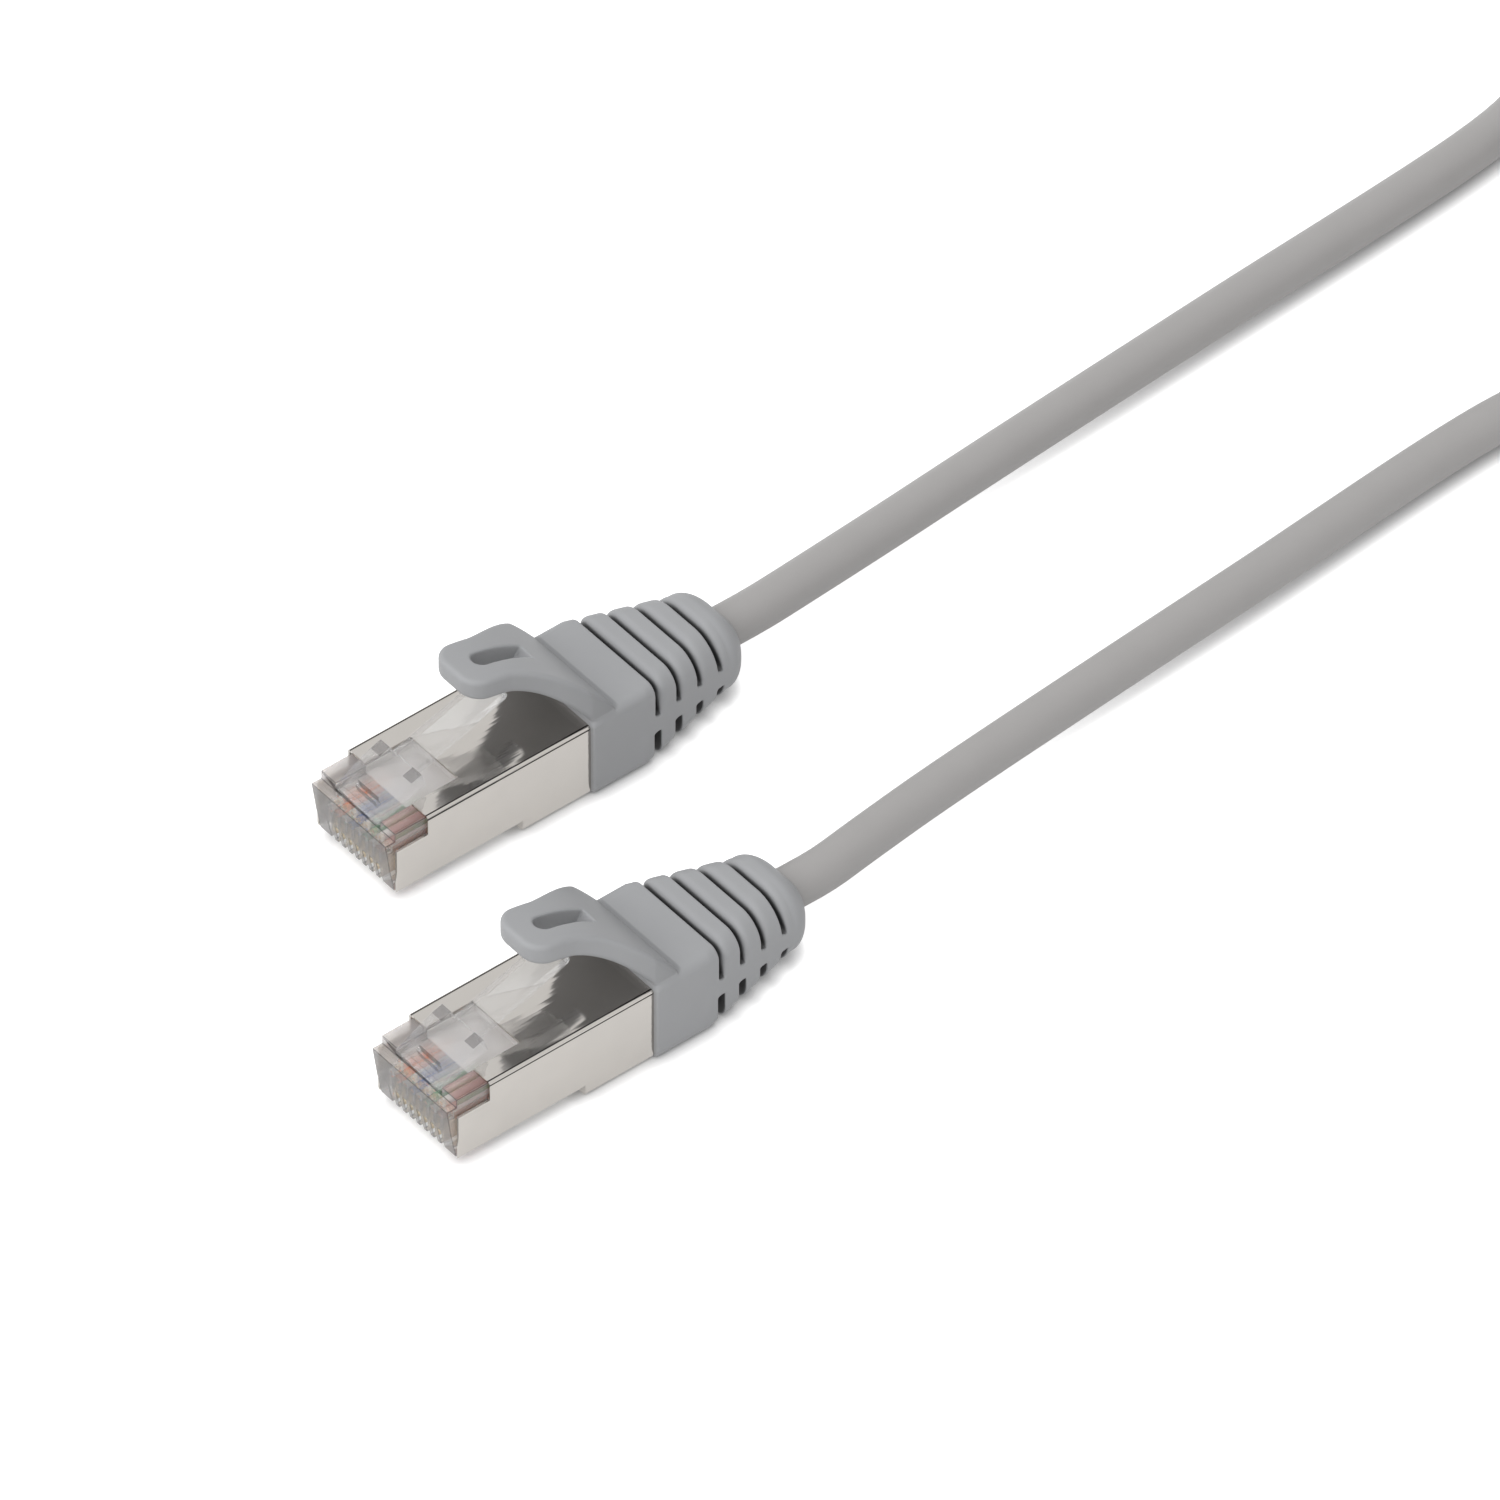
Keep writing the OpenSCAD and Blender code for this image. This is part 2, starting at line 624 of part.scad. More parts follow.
// Clear latch with its locking shoulders
module latch() {
    color([0.86, 0.9, 0.93, 0.45])
    translate([0, latch_y, latch_z]) rotate([latch_angle, 0, 0]) difference() {
        union() {
            rotate([0, 90, 0]) cylinder(h = latch_w, r = latch_root_r, center = true);
            across(latch_w) polygon([
                [0, -arm_t / 2], [shoulder_len, -arm_t / 2],
                [shoulder_len, arm_t / 2 + shoulder_rise],
                [shoulder_len - shoulder_ramp, arm_t / 2 + shoulder_rise], [0, arm_t / 2]]);
            across(arm_w) {
                translate([shoulder_len - past, -arm_t / 2])
                    square([latch_len - arm_t / 2 - shoulder_len + past, arm_t]);
                translate([latch_len - arm_t / 2, 0]) circle(arm_t / 2);
            }
        }
        block([-root_slot_w / 2, root_slot_y, -latch_len],
              [root_slot_w / 2, root_slot_y + root_slot_len, latch_len]);
    }
}

// Points of one run, from its boot to the coil
function run_points(boot, near, coil, far) =
    concat([for (p = near) boot + p], [for (p = far) coil + p]);

// One free run of the cable between its boot and the coil
module cord_run(points, steps) {
    color([0.66, 0.65, 0.65]) tube(route(points, steps), cable_r, run_sides);
}

// Middle of the coiled cable after a turn of a degrees: it winds in, then out again
function coil_point(a) =
    let (turn = a / 360,
         inward = coil_turns / 2 - abs(turn - coil_turns / 2),
         r = coil_r - coil_pitch * inward,
         z = coil_floor + coil_layer * ease((turn - coil_turns / 2) * 2 + 0.5))
    [coil_centre[0] - r * cos(a), coil_centre[1] + r * sin(a), z];

coil_steps = coil_turns * coil_rings;
coil_a = coil_point(0) - [0, coil_lead, 0];
coil_b = coil_point(coil_turns * 360) - [0, coil_lead, 0];
coil_path = concat(
    [coil_a],
    [for (i = [0:coil_steps]) coil_point(i * 360 / coil_rings)],
    [coil_b]);

// Least clear distance between two loops, measured on the path's points
coil_gap = min([for (i = [0:len(coil_path) - 1])
    for (j = [i + coil_rings / 2:len(coil_path) - 1])
        norm(coil_path[i] - coil_path[j])]) - cable_d;

module coil() {
    echo(str("least gap inside the coil: ", coil_gap));
    color([0.66, 0.65, 0.65]) tube(coil_path, cable_r, coil_sides, [0, 1, 0], [0, -1, 0]);
}

for (e = [0:1]) translate([end_x[e], end_y[e], 0]) {
    shield();
    plug_body();
    latch();
    contacts();
    load_bar();
    copper_cores();
    foil_wrap();
    drain_wire();
    jacket_end();
    boot();
    latch_guard();
    for (w = [0:wires - 1])
        wire(w, TINTS[w]);
}
cord_run(run_points(exit_a, near_a, coil_a, far_a), run_steps_a);  // cord_run_a
coil();
cord_run(run_points(exit_b, near_b, coil_b, far_b), run_steps_b);  // cord_run_b
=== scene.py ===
"""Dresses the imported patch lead: moulded boots, clear plugs in plated shields, and the round cable.

Sizes inside an end are in millimetres and local to it: x from the plug's centre line, y back from
the tip of its nose, z up from the surface. Every object that is made is in metres, in the frame's
own coordinates.
"""

from __future__ import annotations

import json
import logging
import math
from dataclasses import dataclass
from enum import Enum
from typing import Callable, Sequence

import bmesh
import bpy
import numpy as np
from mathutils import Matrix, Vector

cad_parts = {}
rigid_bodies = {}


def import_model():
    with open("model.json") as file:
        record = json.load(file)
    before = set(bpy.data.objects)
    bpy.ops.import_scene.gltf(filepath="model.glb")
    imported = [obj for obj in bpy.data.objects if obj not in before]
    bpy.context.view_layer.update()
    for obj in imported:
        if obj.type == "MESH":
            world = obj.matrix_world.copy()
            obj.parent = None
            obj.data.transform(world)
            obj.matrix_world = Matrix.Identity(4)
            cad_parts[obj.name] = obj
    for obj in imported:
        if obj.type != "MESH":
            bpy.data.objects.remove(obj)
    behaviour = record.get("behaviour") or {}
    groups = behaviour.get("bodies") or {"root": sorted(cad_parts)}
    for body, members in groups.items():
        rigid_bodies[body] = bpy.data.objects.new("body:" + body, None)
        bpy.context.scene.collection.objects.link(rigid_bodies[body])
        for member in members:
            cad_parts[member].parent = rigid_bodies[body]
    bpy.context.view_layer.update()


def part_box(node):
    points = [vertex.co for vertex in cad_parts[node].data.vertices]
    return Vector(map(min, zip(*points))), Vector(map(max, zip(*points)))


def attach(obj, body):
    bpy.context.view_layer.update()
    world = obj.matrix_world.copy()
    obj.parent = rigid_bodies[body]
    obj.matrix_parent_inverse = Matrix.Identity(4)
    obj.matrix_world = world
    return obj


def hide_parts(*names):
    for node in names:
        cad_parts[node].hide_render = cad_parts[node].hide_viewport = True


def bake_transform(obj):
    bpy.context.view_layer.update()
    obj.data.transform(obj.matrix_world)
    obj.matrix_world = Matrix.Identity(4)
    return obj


LOG = logging.getLogger("patch_lead")
MM = 0.001
ROOT = "cable_and_plugs"
SIDE = "side"
# Name of the mesh attribute that holds the boot's painted shade.
PAINTED_SHADE_ATTRIBUTE = "painted_shade"
TINY = 1e-9
SAME_PLACE = 0.002 * MM
SAME_PLANE = math.radians(1.5)
SHARP = math.radians(35)
SMOOTH_NOISE = 0.5
PLAIN_NOISE = 2.0
FINE_NOISE = 3.0
Pair = tuple[float, float]
Colour = tuple[float, float, float]
Point = tuple[float, float, float]
Array = np.ndarray
Material = bpy.types.Material
Piece = bpy.types.Object
Socket = bpy.types.NodeSocket


class End(Enum):
    """The lead's two ends."""

    A = "a"
    B = "b"


# ---------------------------------------------------------------- shader maths


class Value:
    """A node socket that adds Math nodes when it is used in an expression."""

    def __init__(self, tree: bpy.types.NodeTree, socket: Socket) -> None:
        """Keeps the tree that new Math nodes go into, and the socket itself."""
        self.tree = tree
        self.socket = socket

    def _math(self, operation: str, first: Value | float, second: Value | float) -> Value:
        """Adds one Math node.

        Args:
            operation: Blender's name of the operation.
            first: The left operand.
            second: The right operand.

        Returns:
            The node's result.
        """
        node = self.tree.nodes.new("ShaderNodeMath")
        node.operation = operation
        for slot, operand in zip(node.inputs, (first, second)):
            if isinstance(operand, Value):
                self.tree.links.new(operand.socket, slot)
            else:
                slot.default_value = operand
        return Value(self.tree, node.outputs[0])

    def __add__(self, other: Value | float) -> Value:
        """Sum."""
        return self._math("ADD", self, other)

    __radd__ = __add__

    def __mul__(self, other: Value | float) -> Value:
        """Product."""
        return self._math("MULTIPLY", self, other)

    __rmul__ = __mul__

    def __sub__(self, other: Value | float) -> Value:
        """Difference."""
        return self._math("SUBTRACT", self, other)

    def __rsub__(self, other: float) -> Value:
        """Difference from a number."""
        return self._math("SUBTRACT", other, self)

    def __pow__(self, other: float) -> Value:
        """Power."""
        return self._math("POWER", self, other)

    def __truediv__(self, other: Value | float) -> Value:
        """Quotient."""
        return self._math("DIVIDE", self, other)

    def most(self, other: Value | float) -> Value:
        """The larger of the two."""
        return self._math("MAXIMUM", self, other)

    def above(self, limit: float) -> Value:
        """1 where the value is more than limit, and 0 elsewhere."""
        return self._math("GREATER_THAN", self, limit)

    def around(self, middle: float, swing: float) -> Value:
        """A value from 0 to 1 turned into a swing about a middle."""
        return self * swing + (middle - swing / 2)


class Graph:
    """Adds nodes to one tree."""

    prefix = "ShaderNode"

    def __init__(self, tree: bpy.types.NodeTree) -> None:
        """Empties the tree and keeps it."""
        self.tree = tree
        self.tree.nodes.clear()

    def node(self, kind: str, settings: dict | None = None,
             inputs: dict | None = None) -> bpy.types.Node:
        """Adds one node.

        Args:
            kind: The node's type, without the tree's prefix.
            settings: Properties that are set first.
            inputs: A value, a Value or a socket for each named input.

        Returns:
            The node.
        """
        node = self.tree.nodes.new(self.prefix + kind)
        for key, value in (settings or {}).items():
            setattr(node, key, value)
        for key, value in (inputs or {}).items():
            if isinstance(value, Value):
                self.tree.links.new(value.socket, node.inputs[key])
            elif isinstance(value, Socket):
                self.tree.links.new(value, node.inputs[key])
            else:
                node.inputs[key].default_value = value
        return node

    def value(self, node: bpy.types.Node, output: str | int = 0) -> Value:
        """Wraps one output of a node."""
        return Value(self.tree, node.outputs[output])

    def ray(self, kind: str) -> Value:
        """1 for one of Light Path's kinds of ray, and 0 for the others."""
        return self.value(self.node("LightPath"), f"Is {kind} Ray")

    def seen(self) -> Value:
        """1 for what the camera, a reflection or clear plastic shows, and 0 for light."""
        return self.ray("Camera").most(self.ray("Glossy")).most(self.ray("Transmission"))


class Shader(Graph):
    """Builds one material's nodes."""

    def __init__(self, name: str) -> None:
        """Starts an empty material.

        Args:
            name: The material's name.
        """
        self.material = bpy.data.materials.new(name)
        self.material.use_nodes = True
        super().__init__(self.material.node_tree)

    def position(self) -> Socket:
        """Object coordinates, which are metres in the frame."""
        return self.node("TexCoord").outputs["Object"]

    def stretched(self, scale: Point) -> Socket:
        """Object coordinates, scaled along each axis."""
        inputs = {"Vector": self.position(), "Scale": scale}
        return self.node("Mapping", {"vector_type": "POINT"}, inputs).outputs["Vector"]

    def noise(self, size_mm: float, detail: float = PLAIN_NOISE,
              vector: Socket | None = None) -> Value:
        """Noise from 0 to 1.

        Args:
            size_mm: How large its patches are.
            detail: Number of finer octaves.
            vector: Coordinates other than the object's own.

        Returns:
            The noise value.
        """
        place = vector if vector is not None else self.position()
        inputs = {"Vector": place, "Scale": 1.0 / (size_mm * MM), "Detail": detail}
        return self.value(self.node("TexNoise", None, inputs), "Fac")

    def blend(self, share: Value, low: Colour | Socket,
              high: Colour | Socket) -> Socket:
        """Colour that goes from low to high with share."""
        ends = [(*end, 1.0) if isinstance(end, tuple) else end for end in (low, high)]
        return self.node("Mix", {"data_type": "RGBA"}, {0: share, 6: ends[0], 7: ends[1]}).outputs[2]

    def mottled(self, share: Value, colour: Colour, factors: Pair) -> Socket:
        """The colour, made darker or lighter from the first factor to the second with share."""
        return self.blend(share, *(shade(colour, factor) for factor in factors))

    def bump(self, height: Value, depth_mm: float) -> Socket:
        """Normal of a surface whose height swings by depth_mm."""
        inputs = {"Height": height, "Distance": depth_mm * MM, "Strength": 1.0}
        return self.node("Bump", None, inputs).outputs["Normal"]

    def principled(self, inputs: dict) -> Material:
        """Ends the material in one Principled shader with these inputs."""
        surface = self.node("BsdfPrincipled", None, inputs)
        return self.output(surface.outputs[0])

    def output(self, surface: Socket) -> Material:
        """Ends the material in this shader."""
        self.node("OutputMaterial", None, {"Surface": surface})
        return self.material


class Shaper(Graph):
    """Builds one Geometry Nodes tree with named inputs, and runs it on an object."""

    prefix = ""

    def __init__(self, name: str, inputs: dict[str, str]) -> None:
        """Starts a tree.

        Args:
            name: The tree's name.
            inputs: The socket type of each named input after the geometry.
        """
        super().__init__(bpy.data.node_groups.new(name, "GeometryNodeTree"))
        face = self.tree.interface
        face.new_socket("Geometry", in_out="INPUT", socket_type="NodeSocketGeometry")
        self.sockets = {
            key: face.new_socket(key, in_out="INPUT", socket_type="NodeSocket" + kind).identifier
            for key, kind in inputs.items()
        }
        face.new_socket("Geometry", in_out="OUTPUT", socket_type="NodeSocketGeometry")
        self.start = self.node("NodeGroupInput")

    def given(self, key: str) -> Value:
        """One of the tree's inputs."""
        return self.value(self.start, key)

    def finish(self, shape: Socket) -> None:
        """Ends the tree in real geometry that has its material.

        Args:
            shape: The geometry.
        """
        real = self.node("GeometryNodeRealizeInstances", None, {"Geometry": shape})
        inputs = {"Geometry": real.outputs[0], "Material": self.given("Material")}
        dressed = self.node("GeometryNodeSetMaterial", None, inputs)
        self.node("NodeGroupOutput", None, {"Geometry": dressed.outputs[0]})

    def run(self, source: Piece, values: dict) -> Piece:
        """Runs the tree on an object.

        Args:
            source: The object, which is used up.
            values: A value for each named input.

        Returns:
            A plain mesh object of the same name.
        """
        modifier = source.modifiers.new(self.tree.name, "NODES")
        modifier.node_group = self.tree
        for key, value in values.items():
            modifier[self.sockets[key]] = value
        return frozen(source)


def shade(colour: Colour, factor: float) -> Colour:
    """The colour, made darker or lighter by a factor."""
    return tuple(min(1.0, c * factor) for c in colour)


# -------------------------------------------------------------------- finishes


@dataclass(frozen=True)
class MouldedSkin:
    """Flexible moulded plastic with a fine matt grain, and painted shade where a mesh attribute asks
    for it.
    """

    name: str
    colour: Colour
    roughness: float = 0.5
    grain_mm: float = 0.09
    grain_depth_mm: float = 0.004
    painted_shade_strength: float = 0.0
    painted_shade_factor: float = 0.1
    cloud_mm: float = 3.5
    mottle: Pair = (0.97, 1.03)
    swing: float = 0.12
    specular: float = 0.4

    def material(self) -> Material:
        """Builds the material.

        Returns:
            The material.
        """
        s = Shader(self.name)
        grain = s.noise(self.grain_mm, FINE_NOISE)
        skin = s.mottled(s.noise(self.cloud_mm), self.colour, self.mottle)
        # Painted shade: a mesh attribute darkens the colour in the boot's slots, along its crease and
        # on the tongue ahead of it, where shade falls.
        if self.painted_shade_strength:
            depth = s.value(s.node("Attribute", {"attribute_name": PAINTED_SHADE_ATTRIBUTE}), "Fac")
            skin = s.blend(depth * self.painted_shade_strength, skin, shade(self.colour, self.painted_shade_factor))
        return s.principled({
            "Base Color": skin,
            "Roughness": grain.around(self.roughness, self.swing),
            "Normal": s.bump(grain, self.grain_depth_mm),
            "Specular IOR Level": self.specular,
        })


@dataclass(frozen=True)
class PlatedSheet:
    """Bright nickel-plated sheet: faint rolling lines along y, and a slightly uneven surface."""

    name: str
    colour: Colour
    roughness: float = 0.1
    mottle: Pair = (0.97, 1.03)
    swing: float = 0.06
    line_mm: float = 0.5
    line_scale: Point = (1.0, 0.03, 1.0)
    line_share: float = 0.06
    wave_mm: float = 7.0
    wave_depth_mm: float = 0.25
    smudge_mm: float = 2.2

    def material(self) -> Material:
        """Builds the material.

        Returns:
            The material.
        """
        s = Shader(self.name)
        lines = s.noise(self.line_mm, vector=s.stretched(self.line_scale))
        height = lines * self.line_share + s.noise(self.wave_mm, SMOOTH_NOISE)
        smudge = s.noise(self.smudge_mm, FINE_NOISE)
        return s.principled({
            "Base Color": s.mottled(smudge, self.colour, self.mottle),
            "Metallic": 1.0,
            "Roughness": smudge.around(self.roughness, self.swing),
            "Normal": s.bump(height, self.wave_depth_mm),
        })


@dataclass(frozen=True)
class ClearMoulding:
    """Clear moulded plastic: a thin haze that thickens at grazing faces, over some refraction."""

    name: str
    colour: Colour = (0.9, 0.91, 0.92)
    haze: float = 0.12
    rim: float = 0.35
    rim_power: float = 2.0
    refraction: float = 0.4
    roughness: float = 0.05
    mottle: Pair = (0.97, 1.0)
    swing: float = 0.04
    ior: float = 1.45
    flow_mm: float = 1.6
    flow_depth_mm: float = 0.012

    def material(self) -> Material:
        """Builds the material.

        Returns:
            The material.
        """
        s = Shader(self.name)
        flow = s.noise(self.flow_mm)
        facing = s.value(s.node("LayerWeight"), "Facing")
        skin = {
            "Base Color": s.mottled(flow, self.colour, self.mottle),
            "Roughness": flow.around(self.roughness, self.swing),
            "Normal": s.bump(flow, self.flow_depth_mm),
            "IOR": self.ior,
        }
        haze = facing ** self.rim_power * self.rim + flow.around(self.haze, self.swing)
        hazy = s.node("BsdfPrincipled", None, skin | {"Alpha": haze})
        glassy = s.node("BsdfPrincipled", None, skin | {"Transmission Weight": 1.0})
        both = {0: self.refraction, 1: hazy.outputs[0], 2: glassy.outputs[0]}
        return s.output(s.node("MixShader", None, both).outputs[0])


@dataclass(frozen=True)
class Metal:
    """Small bare or plated metal part."""

    name: str
    colour: Colour
    roughness: float = 0.25
    mottle: Pair = (0.93, 1.05)
    swing: float = 0.1
    mark_mm: float = 0.4
    mark_depth_mm: float = 0.004

    def material(self) -> Material:
        """Builds the material.

        Returns:
            The material.
        """
        s = Shader(self.name)
        mark = s.noise(self.mark_mm)
        return s.principled({
            "Base Color": s.mottled(mark, self.colour, self.mottle),
            "Metallic": 1.0,
            "Roughness": mark.around(self.roughness, self.swing),
            "Normal": s.bump(mark, self.mark_depth_mm),
        })


@dataclass(frozen=True)
class Insulation:
    """Thin glossy insulation in one colour, or pale with a stripe of that colour."""

    name: str
    colour: Colour
    striped: bool
    pale: Colour = (0.85, 0.84, 0.8)
    stripe_from: float = 0.62
    roughness: float = 0.35
    mottle: Pair = (0.95, 1.0)
    swing: float = 0.1
    flow_mm: float = 0.6

    def material(self) -> Material:
        """Builds the material.

        Returns:
            The material.
        """
        s = Shader(self.name)
        flow = s.noise(self.flow_mm)
        base = s.mottled(flow, self.colour, self.mottle)
        if self.striped:
            side = s.value(s.node("Attribute", {"attribute_name": SIDE}), "Fac")
            base = s.blend(side.above(self.stripe_from), self.pale, self.colour)
        return s.principled({"Base Color": base, "Roughness": flow.around(self.roughness, self.swing)})


class Finish(Enum):
    """The lead's finishes and painted shades, apart from the wires' insulation."""

    # The boot's plastic carries painted shade in its slots, along its crease and on the tongue ahead of
    # it.
    BOOT = MouldedSkin("boot_plastic", (0.36, 0.365, 0.375), painted_shade_strength=0.9)
    JACKET = MouldedSkin("cable_jacket", (0.37, 0.36, 0.355), 0.42, 0.15, 0.003)
    SHEET = PlatedSheet("plated_sheet", (0.55, 0.525, 0.495))
    # Painted shade: a dark metal for the faces inside the shield's fold grooves.
    SEAM = Metal("painted_fold_shadow", (0.1, 0.095, 0.09), 0.4)
    CLEAR = ClearMoulding("clear_plastic", (0.93, 0.88, 0.87), haze=0.3)
    MILKY = ClearMoulding("milky_plastic", (0.82, 0.79, 0.77), haze=0.78, refraction=0.2)
    # Painted shade: the nose's front face is dark grey, standing in for the shade in its contact slots.
    FACE = ClearMoulding("clear_face", (0.3, 0.29, 0.29), haze=0.42, rim=0.5)
    # Painted tint: the +x corner of the clear plastic is pink, standing in for the brown wire seen
    # through it.
    CORNER = ClearMoulding("clear_corner", (0.8, 0.53, 0.51), haze=0.36, rim=0.5, refraction=0.5)
    # Painted shade: dark grey for the edges of the clear plastic and the walls of the nose's slots,
    # where shade falls.
    EDGE = ClearMoulding("clear_edge", (0.16, 0.155, 0.16), haze=0.6, rim=0.3, refraction=0.2)
    LATCH = ClearMoulding("clear_latch", haze=0.05, rim=0.3, refraction=0.2)
    BORE = ClearMoulding("clear_bore", haze=0.02, rim=0.0, refraction=0.0)
    # Painted shade: dark clear plastic for latch faces that refraction leaves in shade.
    DUSK = ClearMoulding("clear_dusk", (0.1, 0.095, 0.1), haze=0.5, refraction=0.0)
    GOLD = Metal("gold_plate", (0.9, 0.8, 0.62), 0.22)
    COPPER = Metal("bare_copper", (0.83, 0.45, 0.28), 0.3)
    TIN = Metal("tinned_copper", (0.72, 0.7, 0.68), 0.3)
    FOIL = Metal("foil_screen", (0.8, 0.8, 0.82), 0.2)


class Finishes:
    """Every material of the lead, made once."""

    WIRE_COLOURS = {
        "orange": (0.95, 0.22, 0.03),
        "green": (0.03, 0.3, 0.09),
        "blue": (0.03, 0.13, 0.45),
        "brown": (0.34, 0.09, 0.05),
    }
    WIRE_ORDER = (
        "white_orange", "orange", "white_green", "blue", "white_blue", "green", "white_brown", "brown",
    )
    WHITE = "white_"

    def __init__(self) -> None:
        """Builds the materials."""
        self.made = {finish: finish.value.material() for finish in Finish}
        self.wires = {
            name: Insulation("wire_" + name, self.WIRE_COLOURS[name.removeprefix(self.WHITE)],
                             name.startswith(self.WHITE)).material()
            for name in self.WIRE_ORDER
        }

    def __getitem__(self, finish: Finish) -> Material:
        """One finish's material."""
        return self.made[finish]


# ---------------------------------------------------------------- mesh helpers


def new_object(name: str, data: bpy.types.ID) -> Piece:
    """Puts a new object in the scene, at the origin.

    Args:
        name: Its name.
        data: Its mesh, curve, light or camera.

    Returns:
        The object.
    """
    made = bpy.data.objects.new(name, data)
    bpy.context.scene.collection.objects.link(made)
    return made


def frozen(made: Piece) -> Piece:
    """Turns an object with modifiers, or a curve, into a plain mesh object of the same name.

    Args:
        made: The object, which is removed.

    Returns:
        The plain mesh object.
    """
    bpy.context.view_layer.update()
    evaluated = made.evaluated_get(bpy.context.evaluated_depsgraph_get())
    mesh = bpy.data.meshes.new_from_object(evaluated)
    name = made.name
    bpy.data.objects.remove(made)
    mesh.name = name
    return new_object(name, mesh)


def mesh_of(work: bmesh.types.BMesh, name: str) -> bpy.types.Mesh:
    """Turns a bmesh, which is used up, into a new mesh.

    Args:
        work: The bmesh.
        name: The mesh's name.

    Returns:
        The mesh.
    """
    mesh = bpy.data.meshes.new(name)
    work.to_mesh(mesh)
    work.free()
    return mesh


def boxes(name: str, corners: Sequence[tuple[Vector, Vector]]) -> Piece:
    """Makes one object of separate boxes.

    Args:
        name: The object's name.
        corners: Each box's lowest and highest corner.

    Returns:
        The object.
    """
    work = bmesh.new()
    for low, high in corners:
        made = bmesh.ops.create_cube(work, size=1.0)["verts"]
        bmesh.ops.scale(work, verts=made, vec=high - low)
        bmesh.ops.translate(work, verts=made, vec=(low + high) / 2)
    return new_object(name, mesh_of(work, name))


def inside(place: Sequence[float], low: Sequence[float], high: Sequence[float]) -> bool:
    """Whether a place lies between two corners."""
    return all(a < v < b for a, v, b in zip(low, place, high))


def add_modifier(piece: Piece, kind: str, **settings: object) -> None:
    """Adds one modifier.

    Args:
        piece: The object that gets it.
        kind: Blender's name of its type.
        settings: Its properties.
    """
    made = piece.modifiers.new(kind.lower(), kind)
    for key, value in settings.items():
        setattr(made, key, value)


def softened_copy(node: str, name: str, width_mm: float, materials: Sequence[Material],
                  grooves: Sequence[tuple[Vector, Vector]] = (),
                  splits: Sequence[tuple[Vector, Vector]] = ()) -> Piece:
    """Copies a frame node with its sharp edges rounded a little.

    Args:
        node: The frame node.
        name: The new piece's name.
        width_mm: Width of the rounding.
        materials: Its finishes and painted shades. All its faces get the first one.
        grooves: Boxes that are cut out of it first.
        splits: Point and normal of planes that divide its faces, so that each part can have a finish or
            a painted shade.

    Returns:
        The new piece, which replaces the node.
    """
    work = bmesh.new()
    work.from_mesh(bpy.data.objects[node].data)
    bmesh.ops.remove_doubles(work, verts=work.verts, dist=SAME_PLACE)
    bmesh.ops.dissolve_limit(work, angle_limit=SAME_PLANE, verts=work.verts, edges=work.edges)
    for place, normal in splits:
        every = [*work.verts, *work.edges, *work.faces]
        bmesh.ops.bisect_plane(work, geom=every, plane_co=place, plane_no=normal)
    mesh = mesh_of(work, name)
    mesh.normals_split_custom_set([(0, 0, 0)] * len(mesh.loops))
    mesh.shade_smooth()
    for material in materials:
        mesh.materials.append(material)
    piece = new_object(name, mesh)
    cutter = boxes("groove_cutter", grooves) if grooves else None
    if cutter:
        add_modifier(piece, "BOOLEAN", operation="DIFFERENCE", solver="EXACT", object=cutter)
    add_modifier(piece, "BEVEL", width=width_mm * MM, segments=2, limit_method="ANGLE",
                 angle_limit=SHARP)
    add_modifier(piece, "WEIGHTED_NORMAL", keep_sharp=True)
    piece = frozen(piece)
    if cutter:
        bpy.data.objects.remove(cutter)
    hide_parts(node)
    return piece


# -------------------------------------------------------------- moulded fields

Field = Callable[[Array], Array]


def joined(a: Array, b: Array, k: float | Array) -> Array:
    """Union of two distance fields with a fillet about k wide."""
    h = np.clip(0.5 + 0.5 * (b - a) / k, 0.0, 1.0)
    return b + (a - b) * h - k * h * (1.0 - h)


def common(a: Array, b: Array, k: float | Array) -> Array:
    """Intersection of two distance fields with an edge rounded about k wide."""
    return -joined(-a, -b, k)


def cut(a: Array, b: Array, k: float | Array) -> Array:
    """First field with the second taken away, its edges rounded about k wide."""
    return common(a, -b, k)


def rounded_corner(qx: Array, qy: Array, r: float | Array) -> Array:
    """Distance to a round corner, from how far each point lies past the corner's centre."""
    outside = np.hypot(np.maximum(qx, 0.0), np.maximum(qy, 0.0))
    return outside + np.minimum(np.maximum(qx, qy), 0.0) - r


def ramp(value: Array, start: float, length: float) -> Array:
    """0 before start, and then a straight rise to 1 over this length."""
    return np.clip((value - start) / length, 0.0, 1.0)


